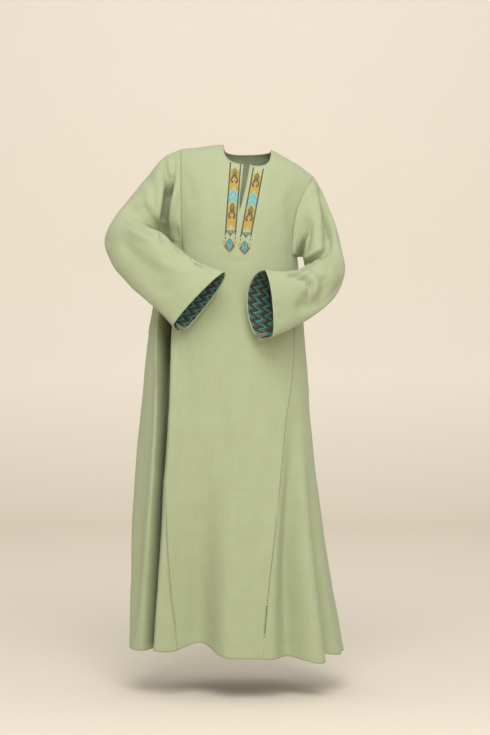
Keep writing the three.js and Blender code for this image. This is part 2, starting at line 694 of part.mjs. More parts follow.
add("front_panel", cutPanel(1));
add("back_panel", cutPanel(-1));
add("left_front_gore", gore(1));
add("left_back_gore", gore(2));
add("right_back_gore", gore(4));
add("right_front_gore", gore(5));
for (const [hand, sections, creases] of [
  ["right", RIGHT_SLEEVE, RIGHT_CREASES],
  ["left", LEFT_SLEEVE, LEFT_CREASES],
]) {
  const grid = sleeveGrid(sections, creases, hand === "right" ? -1 : 1);
  add(`${hand}_sleeve`, sleeveWall(grid, 0, 0, CLOTH, 0));
  const facing = sleeveWall(grid, SLEEVE_ROWS - FACING_ROWS, CLOTH + FACING_GAP, FACING, FACING_SETBACK);
  add(`${hand}_cuff_facing`, facing, CHARCOAL);
}

export default jalabiya;
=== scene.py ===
import math
from collections import defaultdict

import bmesh
import bpy
import numpy as np
from mathutils import Matrix, Vector, noise
from mathutils.bvhtree import BVHTree


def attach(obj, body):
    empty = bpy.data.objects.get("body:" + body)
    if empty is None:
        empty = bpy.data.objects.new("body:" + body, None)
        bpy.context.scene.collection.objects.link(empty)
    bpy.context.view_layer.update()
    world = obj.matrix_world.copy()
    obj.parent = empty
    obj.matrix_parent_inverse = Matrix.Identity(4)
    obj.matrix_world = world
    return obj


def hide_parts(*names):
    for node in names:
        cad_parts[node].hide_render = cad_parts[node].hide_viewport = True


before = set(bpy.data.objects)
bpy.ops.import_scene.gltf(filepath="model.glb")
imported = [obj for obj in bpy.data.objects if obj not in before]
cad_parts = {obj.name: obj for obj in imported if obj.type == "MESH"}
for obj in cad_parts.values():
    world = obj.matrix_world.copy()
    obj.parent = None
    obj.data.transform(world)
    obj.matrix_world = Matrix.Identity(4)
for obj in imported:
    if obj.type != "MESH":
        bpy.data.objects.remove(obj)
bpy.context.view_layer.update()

MM = 0.001
LINEN_WALL = 1.2  # real linen is thinner; the CAD wall is 1.6 mm
FACING_WALL = 0.9
FACING_GAP = 0.4
FACING_SETBACK = 3.0  # a facing's edge, from the cuff's
OPENWORK = 3.1  # gap that an openwork seam's threads cross
OPENWORK_EASE = 6  # points over which it opens
PLAIN_SEAM = 0.4
BAR_PITCH = 6.6  # between the thread bars of an openwork seam
# Half widths and heights of threads, and of rolled edges and seams
BAR_HALF, STITCH_HALF, CROSS_HALF = (2.0, 0.5), (0.35, 0.25), (0.52, 0.34)
EDGE_HALF, FELLED_HALF, BINDING_HALF, SLIT_EDGE_HALF = (0.9, 0.75), (2.6, 0.4), (1.5, 1.3), (1.0, 1.0)
BAR_GRIP, EDGE_INSET = 0.5, 0.8  # into the cloth's edge
BAR_SINK, EDGE_SINK, TOP_SEAM_RISE = 0.2, 0.3, 0.3  # below the cloth's face, and above a gore's top
LAID = 0.1  # how far felled seams and hem stitches stand off it
CROSS_LIFTS = (0.25, 0.5)  # and the under and upper strand of a cross stitch
VENT_HALF_GAP, FACING_VENT = 9.0, 11.0  # half the slit behind a cuff's bottom corner, and in the facing
VENT_EASE = 45.0  # how far round the cuff the cloth makes room for it
STITCH_PITCH, STITCH_REACH = 5.0, 1.5  # of the hem's running stitches, and half a stitch
HEM_DEPTH = 23.0
HEM_RISE = 0.5  # of the cloth where it is doubled
HEM_PLY, HEM_DIP = 1.3, 0.4  # between the hem's layers, and of its fold below the last row
HEM_CLOSED = 7  # rows of the skirt at the hem where its openwork seams are closed
BACK_CLOSED = 10  # rows of the back, from the shoulder down, where its armholes are closed
EASED_ROWS = 5  # beside the underarm seams, where creases fade so that both cloths meet

# The camera stands 5 m in front, level. One unit of its picture is this many mm at the shoulders.
CAMERA = np.array([-10.0, -5000.0, -585.0])
UNIT = 2.67
PICTURE_MIDDLE = (245.0, 367.5)
FLOOR = -1446.0


def placed(name, data):
    """A new object of the scene."""
    made = bpy.data.objects.new(name, data)
    bpy.context.scene.collection.objects.link(made)
    return made


camera = placed("camera", bpy.data.cameras.new("camera"))
camera.data.lens = 91.72
camera.data.clip_end = 60
camera.location = CAMERA * MM
camera.rotation_euler = (math.pi / 2, 0, 0)
bpy.context.scene.camera = camera


def table(names, *rows):
    """Columns by name, from rows of numbers."""
    return dict(zip(names.split(), np.array(rows, float).T))


# The body at some heights: its middle, half width, depth before and behind the shoulder line, how much higher
# its right side lies, and the x of the panels' seams.
BODY = table(
    "z middle half front back tilt front_right front_left back_right back_left",
    (-270, -40, 169, 122, 104, 20, -177, 114, -172, 108),
    (-330, -44, 178, 126, 106, 19, -186, 117, -176, 109),
    (-413, -52, 196, 130, 112, 18, -206, 119, -182, 106),
    (-525, -58, 210, 138, 126, 16, -211, 119, -190, 100),
    (-720, -61, 226, 147, 142, 14, -204, 97, -194, 90),
    (-939, -57, 243, 156, 154, 12, -202, 74, -190, 80),
    (-1180, -42, 259, 166, 168, 10, -200, 47, -182, 76),
    (-1335, -29, 276, 176, 182, 10, -192, 34, -176, 74),
)
UNDERARM = -270.0
HEM = -1335.0
RING_SQUARENESS = 2.25
CHEST_ROUNDING = 2.4
BODY_MIDDLE = -50.0
SHOULDER_MIDDLE = -4.0
SHOULDER_HALF = 176.0
YOKE_LAG = 1.3
LEFT_LAG = 1.2
SHOULDER = table("x z", (-180, -2), (-120, 4), (-68, 9), (0, 7), (60, -6), (118, -36), (172, -76))

# Folds of the skirt. Places count the panels round the body, 0 to 1 the front panel from its right seam. The
# lift is the hem's, and the power is what a fold's place follows down the skirt.
FOLDS = (
    # top place, hem place, top z, full z, top width, hem width, middle depth, hem depth, lean, lift, power
    (0.33, 0.24, -520, -1335, 170, 180, -14, -56, 0, 28, 1),
    (0.58, 0.62, -560, -1335, 150, 150, 8, 14, 0, 0, 1),
    (0.98, 1.02, -500, -1000, 70, 80, 5, 10, 0, 0, 1),
    (1.16, 1.25, -600, -1100, 66, 96, -18, -36, 0, 3, 1),
    (1.36, 1.45, -640, -1250, 70, 104, 14, 32, 0.3, -8, 1),
    (1.62, 1.7, -740, -1250, 60, 96, -22, -50, 0.3, 6, 1),
    (5.976, 5.64, -330, -500, 40, 58, -92, -58, 0.5, 4, 2),
    (5.85, 5.42, -340, -520, 46, 76, 28, 18, 0.2, 0, 2),
    (6.1, 5.8, -340, -560, 48, 76, 20, 18, -0.4, 6, 2),
    (5.12, 5.22, -520, -1200, 80, 110, 10, 16, 0, 0, 1),
    (2.3, 2.24, -430, -1200, 90, 120, 8, 20, 0, 0, 1),
    (2.62, 2.6, -470, -1200, 80, 120, -18, -42, 0.2, 8, 1),
    (2.98, 2.95, -520, -1250, 90, 120, 10, 24, 0.3, -3, 1),
    (3.26, 3.2, -400, -1250, 90, 130, -12, -38, 0, 8, 1),
    (3.5, 3.47, -430, -1250, 110, 130, 8, 20, 0, -2, 1),
    (3.76, 3.78, -480, -1250, 90, 130, -14, -40, -0.2, 8, 1),
    (4.1, 4.12, -420, -1250, 90, 120, 10, 22, -0.2, 0, 1),
    (4.45, 4.45, -380, -1250, 80, 120, -20, -44, 0.2, 8, 1),
    (4.8, 4.78, -460, -1250, 80, 110, 8, 20, 0, 0, 1),
)

# Sections of the sleeves: the outer line runs round the outside of the elbow to the bottom of the cuff, and
# the inner line from the underarm to its top. front and back stand out from the line between them.
SLEEVE_COLUMNS = "outer_x outer_y outer_z inner_x inner_y inner_z front back hang"
RIGHT_SLEEVE = table(
    SLEEVE_COLUMNS,
    (-181, 0, -2, -203, 0, -249, 70, 70, 0),
    (-227, -4, -25, -214, -8, -240, 66, 66, 0),
    (-276, -12, -84, -224, -20, -236, 60, 60, 0),
    (-322, -24, -143, -233, -36, -232, 56, 56, 0),
    (-362, -42, -202, -241, -56, -231, 56, 54, 0.05),
    (-379, -66, -256, -243, -78, -232, 56, 52, 0.15),
    (-358, -98, -315, -236, -106, -236, 52, 48, 0.25),
    (-312, -130, -370, -210, -138, -253, 46, 42, 0.35),
    (-262, -158, -414, -168, -166, -288, 38, 40, 0.35),
    (-222, -180, -449, -115, -190, -321, 30, 46, 0.2),
    (-193, -196, -478, -62, -208, -341, 25, 56, 0),
)
LEFT_SLEEVE = table(
    SLEEVE_COLUMNS,
    (173, 0, -76, 129, 0, -289, 68, 68, 0),
    (198, -5, -118, 136, -12, -288, 64, 64, 0),
    (224, -16, -188, 141, -28, -290, 58, 58, 0),
    (243, -34, -258, 145, -50, -296, 54, 54, 0.05),
    (252, -58, -325, 148, -72, -306, 54, 52, 0.15),
    (238, -88, -378, 146, -98, -316, 52, 48, 0.25),
    (202, -124, -424, 137, -130, -326, 44, 44, 0.32),
    (150, -160, -463, 116, -166, -334, 36, 48, 0.3),
    (104, -190, -488, 84, -198, -339, 28, 60, 0.15),
    (57, -214, -506, 40, -226, -336, 24, 78, 0),
)
# The sleeves' main folds between two places: turn round the sleeve and count of sections, width and depth.
RIGHT_FOLDS = (
    (0.17, 0.9, 0.45, 2.2, 90, -9),
    (0.1, 1.4, 0.32, 2.6, 90, 8),
    (0.46, 4.8, 0.2, 3.5, 90, -15),
    (0.44, 6.6, 0.18, 5.0, 90, 8),
    (0.44, 9.2, 0.36, 8.0, 60, -6),
    (0.2, 8.6, 0.24, 6.4, 90, -7),
    (0.58, 4.6, 0.82, 3.4, 90, -12),
    (0.6, 5.8, 0.86, 5.0, 100, -8),
    (0.62, 1.8, 0.86, 1.0, 90, -14),
)
LEFT_FOLDS = (
    (0.26, 0.9, 0.45, 2.0, 90, -16),
    (0.07, 0.9, 0.2, 3.0, 80, -8),
    (0.46, 4.8, 0.2, 3.4, 90, -14),
    (0.42, 5.9, 0.2, 6.0, 80, -10),
    (0.2, 7.2, 0.08, 5.4, 90, -9),
    (0.58, 4.4, 0.82, 3.4, 90, -12),
    (0.6, 5.6, 0.86, 5.0, 100, -8),
    (0.62, 1.8, 0.86, 1.0, 90, -14),
)
SLEEVE_GIRTH = 430.0
SLEEVE_PITCH = 56.0  # between sections
SLEEVE_EASE = 1.6  # sections over which a sleeve's shape takes over from its armhole's
DROOP, DROOP_BEFORE, DROOP_AFTER = 20.0, 60.0, 32.0  # how far the cuff hangs down round its vent

# Finer creases, as the picture shows them: width in its units, depth in mm, and the line's points.
RIGHT_CREASES = (
    (8, 12, 176.5, 184, 173, 208, 170.5, 234),
    (6.5, -40, 171, 178, 167, 204, 163, 240),
    (7, -8, 176, 224, 178, 240, 182, 258),
    (7, 7, 163, 178, 160, 202, 155, 228),
    (7, -14, 124, 217, 136, 224, 157, 236),
    (9, 6, 124, 225, 138, 233, 158, 245),
    (8, -5, 144, 204, 152, 220, 160, 236),
    (5, -6, 164, 156, 166, 170, 167, 186),
    (5, -5, 174, 160, 173, 184),
    (6, 4, 169, 158, 170, 184),
    (6, -11, 191, 255, 197, 262, 206, 266),
    (6, 3, 192, 262, 200, 269, 210, 271),
    (14, -4, 138, 262, 160, 272, 182, 276),
    (12, 3.5, 150, 300, 176, 296, 200, 282),
    (11, -3.5, 120, 236, 130, 252, 146, 262),
    (9, 4, 140, 178, 148, 196, 150, 214),
    (8, -3, 150, 172, 154, 190, 153, 210),
)
LEFT_CREASES = (
    (6, -22, 290, 276, 300, 269, 321, 256, 329, 249),
    (7, 8, 299, 264, 312, 254, 325, 245),
    (7, 5, 300, 275, 314, 266, 326, 259),
    (6, -22, 293, 275, 306, 277, 311, 284, 309, 297),
    (8, 6, 297, 283, 303, 285, 305, 294),
    (7, 4, 312, 274, 317, 284, 314, 298),
    (11, -4, 292, 308, 306, 306, 321, 302),
    (8, -28, 321, 184, 326, 209, 329, 234, 327, 249),
    (7, 6, 315, 188, 319, 210, 320, 236),
    (6, 5, 331, 200, 334, 222, 334, 242),
    (8, -10, 312, 216, 308, 236, 303, 256),
    (11, -3.5, 276, 298, 282, 312, 280, 326),
    (9, 4, 312, 268, 322, 276, 330, 274),
    (8, -3, 330, 262, 326, 276, 318, 288),
)
BODY_CREASES = (
    (7, -8, 176, 224, 178, 240, 182, 258),
    (10, -2.5, 183, 168, 190, 186, 192, 206),
    (12, -2, 296, 186, 290, 206, 292, 230),
    (11, 2, 287, 180, 281, 204, 283, 228),
    (10, -2, 222, 258, 236, 262, 254, 260),
    (14, -2.5, 258, 346, 262, 380, 256, 430),
    (16, -3, 226, 360, 222, 420, 224, 470),
    (12, -2, 243, 470, 240, 540, 246, 590),
    (14, 2.5, 232, 380, 236, 450, 234, 520),
    (9, -2, 206, 330, 200, 352, 198, 382),
    (8, -1.5, 270, 560, 262, 610, 256, 650),
)

# The unevenness of worn linen: height, width and length of its swells, and what sets each kind apart
CRUMPLES = ((1.9, 62, 130, 0, 0), (0.9, 25, 48, 7, 0), (0.35, 11, 17, 0, 5))

# Creases: how soon they start where the cloth turns to the camera, what part of their length tapers at each
# end, how sharp they are across and how deep their ends stay
CREASE_TURN, CREASE_TAPER, CREASE_SHARPNESS, CREASE_ENDS = 2.2, 0.3, 0.45, 0.25

RING_POINTS = 961
YOKE_ROWS = 45
SKIRT_ROWS = 213
PANEL_COLUMNS = 70
SEAM_CROWDING = 0.3  # how much closer a panel's columns lie at its seams
GORE_COLUMNS = 48
UNDERARM_COLUMNS = 12  # of a sleeve, along the top of each gore
HEM_ROWS = 5  # of the doubled hem, whose turned-up part is a row longer
SLEEVE_ROWS = 110
CUFF_ROWS = 22  # last rows of a sleeve, where its back reaches and droops
CUFF_AXIS_ROWS = 7  # last rows of a sleeve, which give its direction there
VENT_ROWS = 7
VENT_PLACE = 20  # columns before the shoulder's tip
FACING_ROWS = 15
TURNS = np.linspace(1, 0, YOKE_ROWS + 1)
LEVELS = np.linspace(UNDERARM, HEM, SKIRT_ROWS + 1)
ROW_PITCH = (UNDERARM - HEM) / SKIRT_ROWS


def smooth(t):
    """0 to 1 with soft ends."""
    u = np.clip(t, 0, 1)
    return u * u * (3 - 2 * u)


def lerp(a, b, t):
    return a + (b - a) * t


def unit(v):
    return v / np.maximum(np.linalg.norm(v, axis=-1, keepdims=True), 1e-9)


def run_of(points):
    """How far along a line each of its points is."""
    return np.concatenate([[0], np.cumsum(np.linalg.norm(np.diff(points, axis=0), axis=1))])


def signed_power(v, e):
    return np.sign(v) * np.abs(v) ** e


def along(rows, column, at, key=None):
    """A column of a table between its rows, on a smooth curve that doesn't overshoot."""
    values = rows[column]
    places = rows[key] if key else np.arange(len(values), dtype=float)
    if places[0] > places[-1]:
        places, values = places[::-1], values[::-1]
    slopes = np.diff(values) / np.diff(places)
    before, after = slopes[:-1], slopes[1:]
    inner = np.zeros(len(before))
    same = before * after > 0
    inner[same] = 2 * before[same] * after[same] / (before[same] + after[same])
    tangents = np.concatenate([slopes[:1], inner, slopes[-1:]])
    at = np.clip(at, places[0], places[-1])
    k = np.clip(np.searchsorted(places, at, side="right") - 1, 0, len(slopes) - 1)
    step = places[k + 1] - places[k]
    t = (at - places[k]) / step
    rise = 3 * t**2 - 2 * t**3
    bend = tangents[k] * (t**3 - 2 * t**2 + t) + tangents[k + 1] * (t**3 - t**2)
    return lerp(values[k], values[k + 1], rise) + step * bend


rings = {}


def ring(level):
    """A level section of the body: points, tangents and lengths round it, its seams and its measures."""
    if level in rings:
        return rings[level]
    now = {name: float(along(BODY, name, level, "z")) for name in BODY if name != "z"}
    power = 2 / RING_SQUARENESS

    def angle_of(x):
        return math.acos(float(signed_power((x - now["middle"]) / now["half"], 1 / power)))

    right, left = angle_of(now["front_right"]), angle_of(now["front_left"])
    back_left, back_right = angle_of(now["back_left"]), angle_of(now["back_right"])
    full = 2 * math.pi
    seams = np.array(
        [full - right, full - left, full, full + back_left, full + back_right, 1.5 * full, 2 * full - right]
    )
    angles = np.linspace(seams[0], seams[6], RING_POINTS)
    depth = np.where(np.sin(angles) < 0, now["front"], now["back"])
    x = now["middle"] + now["half"] * signed_power(np.cos(angles), power)
    points = np.stack([x, depth * signed_power(np.sin(angles), power)], axis=1)
    lengths = run_of(points)
    tangents = unit(np.gradient(points, axis=0))
    rings[level] = (points, tangents, lengths, np.interp(seams, angles, lengths), now)
    return rings[level]


def skirt(place, level):
    """Points of the skirt at some places round the body, 0 to 6, at one level."""
    points, tangents, lengths, seams, now = ring(level)
    total = seams[6]

    def length_of(where):
        return np.interp(where % 6, np.arange(7), seams)

    length = length_of(place)
    point = np.stack([np.interp(length, lengths, points[:, k]) for k in (0, 1)], axis=1)
    tangent = unit(np.stack([np.interp(length, lengths, tangents[:, k]) for k in (0, 1)], axis=1))
    outward = np.stack([tangent[:, 1], -tangent[:, 0]], axis=1)
    lift = np.zeros(len(length))
    for top, low, top_z, full_z, top_width, low_width, middle_depth, low_depth, lean, rise, power in FOLDS:
        down = smooth((top_z - level) / (top_z - full_z))
        if down == 0:
            continue
        share = (top_z - level) / (top_z - HEM)
        depth = down * lerp(middle_depth, low_depth, smooth(share))
        width = lerp(top_width, low_width, share)
        centre = length_of(lerp(top, low, share**power))
        off = (length - centre + 1.5 * total) % total - total / 2
        bump = np.where(np.abs(off) < width / 2, (1 + np.cos(2 * np.pi * off / width)) / 2, 0)
        point = point + (depth * bump)[:, None] * (outward + lean * tangent)
        lift = lift + rise * bump * smooth(share) ** 2
    tilt = now["tilt"] * (now["middle"] - point[:, 0]) / now["half"]
    return np.column_stack([point, level + tilt + lift])


def place_of(side, across):
    """Where points across a panel are round the body."""
    return (across + 1) / 2 if side > 0 else 3.5 - across / 2


def yoke(side, across, turn):
    """Points of a panel above the underarm: across from -1 at its right seam to 1, turn 1 at the shoulder."""
    low = skirt(place_of(side, across), UNDERARM)
    x = SHOULDER_MIDDLE + SHOULDER_HALF * across
    top = along(SHOULDER, "z", x, "x")
    rise = math.sin(turn * math.pi / 2) ** (2 / CHEST_ROUNDING)
    inward = abs(math.cos(turn * math.pi / 2)) ** (2 / CHEST_ROUNDING)
    follow = rise ** (YOKE_LAG + LEFT_LAG * np.maximum(across, 0))
    y = low[:, 1] * inward if turn < 1 else np.full(len(x), -side * PLAIN_SEAM / 2)
    return np.column_stack([lerp(low[:, 0], x, follow), y, lerp(low[:, 2], top, rise)])


def panel_across():
    """Where a panel's columns are, closer at its seams."""
    even = np.linspace(-1, 1, PANEL_COLUMNS + 1)
    return (1 + SEAM_CROWDING) * even - SEAM_CROWDING * even**3


def panel_grid(side):
    across = panel_across()
    rows = [yoke(side, across, turn) for turn in TURNS[:-1]]
    return np.stack(rows + [skirt(place_of(side, across), level) for level in LEVELS])


def gore_grid(first):
    place = np.linspace(first, first + 1, GORE_COLUMNS + 1)
    return np.stack([skirt(place, level) for level in LEVELS])


def armhole(hand):
    """The edge that a sleeve joins: down the front from the shoulder's tip, under the arm and up the back."""
    edge = np.array([float(hand)])
    front = [yoke(1, edge, turn)[0] for turn in TURNS]
    start, end = (6, 4) if hand < 0 else (1, 3)
    under = skirt(np.linspace(start, end, 2 * UNDERARM_COLUMNS + 1)[1:], UNDERARM)
    back = [yoke(-1, edge, turn)[0] for turn in TURNS[1:-1][::-1]]
    return np.concatenate([front, under, back])


def sleeve_section(rows, turns, at):
    """A sleeve's plain section, a point for each turn round it."""
    last = len(rows["front"]) - 1

    def read(name, place):
        return np.array([float(along(rows, f"{name}_{axis}", place)) for axis in "xyz"])

    outer, inner = read("outer", at), read("inner", at)
    before, after = max(0, at - 0.25), min(last, at + 0.25)
    path = read("outer", after) + read("inner", after) - read("outer", before) - read("inner", before)
    axis = outer - inner
    across = unit(np.cross(path, axis))
    if across[1] > 0:
        across = -across
    angle = 2 * np.pi * turns
    thick = np.where(np.sin(angle) > 0, along(rows, "front", at), along(rows, "back", at))
    out = thick * np.sin(angle) * (1 - float(along(rows, "hang", at)) * np.cos(angle))
    return (outer + inner) / 2 + np.cos(angle)[:, None] / 2 * axis + out[:, None] * across


def outwards(grid, centre, closed=False):
    """The outward direction at each point of a grid round a centre. A closed one repeats its first column."""
    if closed:
        ring_of = grid[:, :-1]
        across = np.roll(ring_of, -1, axis=1) - np.roll(ring_of, 1, axis=1)
        across = np.concatenate([across, across[:, :1]], axis=1)
    else:
        across = np.gradient(grid, axis=1)
    normal = unit(np.cross(across, np.gradient(grid, axis=0)))
    away = grid - centre
    return normal if (normal * away).sum() > 0 else -normal


def body_centre(grid):
    x = np.full(grid.shape[:2], BODY_MIDDLE)
    return np.stack([x, np.zeros_like(x), grid[..., 2]], axis=-1)


def sleeve_grid(rows, folds, hand, reach):
    """A sleeve's points with its first column again at the end, starting at the vent.

    The back of its cuff reaches farther than the front, and droops at the vent.
    """
    loop = armhole(hand)
    run = np.linalg.norm(np.roll(loop, -1, axis=0) - loop, axis=1)
    turns = np.concatenate([[0], np.cumsum(run)[:-1]]) / run.sum()
    places = np.linspace(0, len(rows["front"]) - 1, SLEEVE_ROWS + 1)
    plain = np.stack([sleeve_section(rows, turns, at) for at in places])
    around = np.concatenate([plain, plain[:, :1]], axis=1)
    out = outwards(around, around[:, :-1].mean(axis=1, keepdims=True), closed=True)[:, :-1]
    free = smooth(places / SLEEVE_EASE)
    depth = np.zeros(plain.shape[:2])
    for turn0, at0, turn1, at1, width, height in folds:
        ax = (turns[None, :] - turn0) * SLEEVE_GIRTH
        ay = (places[:, None] - at0) * SLEEVE_PITCH
        bx, by = (turn1 - turn0) * SLEEVE_GIRTH, (at1 - at0) * SLEEVE_PITCH
        share = np.clip((ax * bx + ay * by) / (bx * bx + by * by), 0, 1)
        off = np.hypot(ax - share * bx, ay - share * by)
        depth += np.where(off < width / 2, height * (1 + np.cos(2 * np.pi * off / width)) / 2, 0)
    grid = plain + out * (depth * free[:, None])[..., None]
    grid = grid + (1 - free)[:, None, None] * (loop - plain[0])
    late = smooth((np.arange(SLEEVE_ROWS + 1) - SLEEVE_ROWS + CUFF_ROWS) / CUFF_ROWS)[:, None, None]
    back = np.sin(np.pi * np.clip(2 * turns - 1, 0, 1))[None, :, None]
    forward = unit(plain[-1].mean(axis=0) - plain[-1 - CUFF_AXIS_ROWS].mean(axis=0))
    from_vent = SLEEVE_GIRTH * (turns - turns[-VENT_PLACE])
    hang = np.exp(-((from_vent / np.where(from_vent < 0, DROOP_BEFORE, DROOP_AFTER)) ** 2))[None, :, None]
    grid = grid + late * (back * forward * reach - hang * np.array([0, 0, DROOP]))
    grid = np.roll(grid, VENT_PLACE, axis=1)
    return np.concatenate([grid, grid[:, :1]], axis=1)


def seen(grid):
    """Where the camera sees each point, in its picture's units from the top left corner."""
    scale = CAMERA[1] / (CAMERA[1] - grid[..., 1]) / UNIT
    across = PICTURE_MIDDLE[0] + (grid[..., 0] - CAMERA[0]) * scale
    down = PICTURE_MIDDLE[1] - (grid[..., 2] - CAMERA[2]) * scale
    return np.stack([across, down], axis=-1)


def crumple(grid):
    """The soft unevenness of worn linen, in mm outwards."""
    made = [
        sum(
            high * noise.noise((x / wide + dx, y / wide + dy, z / long))
            for high, wide, long, dx, dy in CRUMPLES
        )
        for x, y, z in grid.reshape(-1, 3)
    ]
    return np.array(made).reshape(grid.shape[:2])


def pressed(grid, outward, creases):
    """How far the listed creases push the front of the cloth outwards, in mm."""
    spots = seen(grid)
    facing = np.clip(-CREASE_TURN * outward[..., 1], 0, 1)
    depth = np.zeros(grid.shape[:2])
    for width, height, *line in creases:
        line = np.array(line, float).reshape(-1, 2)
        best = np.full(depth.shape, np.inf)
        at = np.zeros(depth.shape)
        start = 0.0
        for a, b in zip(line[:-1], line[1:]):
            run = np.linalg.norm(b - a)
            t = np.clip(((spots - a) @ (b - a)) / run**2, 0, 1)
            off = np.linalg.norm(spots - a - t[..., None] * (b - a), axis=-1)
            at = np.where(off < best, start + t * run, at)
            best = np.minimum(best, off)
            start += run
        end = CREASE_TAPER * start
        taper = smooth(at / end) * smooth((start - at) / end)
        across = np.exp(-((best / (CREASE_SHARPNESS * width)) ** 2))
        depth += height * across * lerp(CREASE_ENDS, 1, taper)
    return depth * facing


def worn(grid, outward, creases, share):
    """A grid of points with a share of its creases and crumples."""
    return grid + outward * (share * (crumple(grid) + pressed(grid, outward, creases)))[..., None]


def set_in(grid, side, gaps):
    """Moves a grid's first or last column into the cloth by some gaps."""
    edge, inner = (0, 1) if side == "first" else (-1, -2)
    grid[:, edge] += unit(grid[:, inner] - grid[:, edge]) * np.asarray(gaps, float).reshape(-1, 1)


def half_gaps(from_end):
    """An openwork seam's half gap at points that are some rows from where its openwork starts."""
    return lerp(PLAIN_SEAM, OPENWORK, smooth(from_end / OPENWORK_EASE)) / 2


def turned_hem(grid, outward):
    """The grid with its hem turned up inside."""
    under = grid[-1] - HEM_PLY * outward[-1] - (0, 0, HEM_DIP)
    inside = (grid - 2 * HEM_PLY * outward)[: -HEM_ROWS - 2 : -1]
    return np.concatenate([grid, under[None], inside])


def vented(points, opened, first_row):
    """The rows of a sleeve from first_row, with the vent open at the cuff."""
    made = points[first_row:].copy()
    for k in range(VENT_ROWS + 1):
        line = made[k - VENT_ROWS - 1]
        slide = opened * k / VENT_ROWS
        run = run_of(line)
        soft = smooth(1 - np.minimum(run, run[-1] - run) / VENT_EASE)
        away = np.where(run < run[-1] / 2, 1, -1) * slide * soft
        line[:] = np.stack([np.interp(run + away, run, line[:, axis]) for axis in range(3)], axis=1)
    return made


def flat_map(grid):
    """Each point's place on the flat cloth in metres, across from the middle column and down it."""
    across = np.cumsum(np.linalg.norm(np.diff(grid, axis=1), axis=2), axis=1)
    across = np.concatenate([np.zeros((len(grid), 1)), across], axis=1)
    middle = grid.shape[1] // 2
    across -= across[:, middle : middle + 1]
    down = run_of(grid[:, middle])[:, None] * np.ones((1, grid.shape[1]))
    return np.stack([across, -down], axis=-1) * MM


def mesh_of(bm, name):
    """A mesh from a bmesh, which is freed."""
    mesh = bpy.data.meshes.new(name)
    bm.to_mesh(mesh)
    bm.free()
    return mesh


def spread(name, grid, outward, material):
    """A surface over a grid of points, with its map. Points of its edges that meet are joined."""
    rows, columns = grid.shape[:2]
    bm = bmesh.new()
    bmesh.ops.create_grid(bm, x_segments=columns - 1, y_segments=rows - 1, size=1)
    mesh = mesh_of(bm, name)
    spots = np.empty(len(mesh.vertices) * 3)
    mesh.vertices.foreach_get("co", spots)
    spots = spots.reshape(-1, 3)
    low, high = spots.min(axis=0), spots.max(axis=0)
    column = np.rint((spots[:, 0] - low[0]) / (high[0] - low[0]) * (columns - 1)).astype(int)
    row = np.rint((high[1] - spots[:, 1]) / (high[1] - low[1]) * (rows - 1)).astype(int)
    mesh.vertices.foreach_set("co", (grid[row, column] * MM).ravel())
    corner = np.empty(len(mesh.loops), int)
    mesh.loops.foreach_get("vertex_index", corner)
    layer = mesh.uv_layers.new(name="cloth")
    layer.uv.foreach_set("vector", flat_map(grid)[row, column][corner].ravel())
    made = np.cross(np.gradient(grid, axis=1), -np.gradient(grid, axis=0))
    if (made[: len(outward)] * outward).sum() < 0:
        mesh.flip_normals()
    bm = bmesh.new()
    bm.from_mesh(mesh)
    bmesh.ops.remove_doubles(bm, verts=bm.verts, dist=1e-6)
    bm.to_mesh(mesh)
    bm.free()
    mesh.shade_smooth()
    return finished(name, mesh, material)


def finished(name, mesh, *materials):
    """A piece from its mesh, riding on the robe's one body."""
    piece = placed(name, mesh)
    for material in materials:
        mesh.materials.append(material)
    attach(piece, "root")
    return piece


def thicken(piece, wall):
    """A wall inwards from the cloth's outer face."""
    solidify = piece.modifiers.new("wall", "SOLIDIFY")
    solidify.thickness = wall * MM
    solidify.offset = -1


def settle(piece):
    """Makes a piece's modifiers part of its mesh."""
    graph = bpy.context.evaluated_depsgraph_get()
    mesh = bpy.data.meshes.new_from_object(piece.evaluated_get(graph))
    piece.modifiers.clear()
    piece.data = mesh
    return piece


def tree_of(piece):
    """A piece's surface, for placing things on it."""
    bm = bmesh.new()
    bm.from_mesh(piece.data)
    made = BVHTree.FromBMesh(bm)
    bm.free()
    return made


def crosswise(points, normals, closed):
    """The direction across a line of points, in the cloth."""
    if closed:
        forward = np.roll(points, -1, axis=0) - np.roll(points, 1, axis=0)
    else:
        forward = np.gradient(points, axis=0)
    return unit(np.cross(normals, unit(forward)))


def roll(name, points, normals, half_width, half_height, closed=False, sides=8):
    """A rolled edge or felled seam: an oval tube of linen along a line of points."""
    across = crosswise(points, normals, closed)
    angle = np.linspace(0, 2 * np.pi, sides + 1)
    ring_of = np.cos(angle)[None, :, None] * across[:, None] * half_width
    ring_of = ring_of + np.sin(angle)[None, :, None] * normals[:, None] * half_height
    grid = points[:, None] + ring_of
    grid[:, -1] = grid[:, 0]
    if closed:
        grid = np.concatenate([grid, grid[:1]])
        ring_of = np.concatenate([ring_of, ring_of[:1]])
    return spread(name, grid, ring_of, LINEN)


def scattered(name, template, places, materials, slots=None):
    """One mesh of many copies of a small template, each at its matrix and with its material's number."""
    whole = bmesh.new()
    for k, place in enumerate(places):
        copy = template.copy()
        copy.transform(place)
        if slots is not None:
            copy.polygons.foreach_set("material_index", [slots[k]] * len(copy.polygons))
        whole.from_mesh(copy)
        bpy.data.meshes.remove(copy)
    mesh = mesh_of(whole, name)
    mesh.shade_smooth()
    return finished(name, mesh, *materials)


def strand(a, b, normal, half_width, half_height):
    """The matrix that lays a unit ball between two points as a short strand of thread, in metres."""
    forward = b - a
    reach = np.linalg.norm(forward) / 2
    forward = forward / (2 * reach)
    across = unit(np.cross(normal, forward))
    up = np.cross(forward, across)
    made = Matrix.Identity(4)
    for k, column in enumerate((forward * reach, across * half_width, up * half_height, (a + b) / 2)):
        for axis in range(3):
            made[axis][k] = float(column[axis]) * MM
    return made


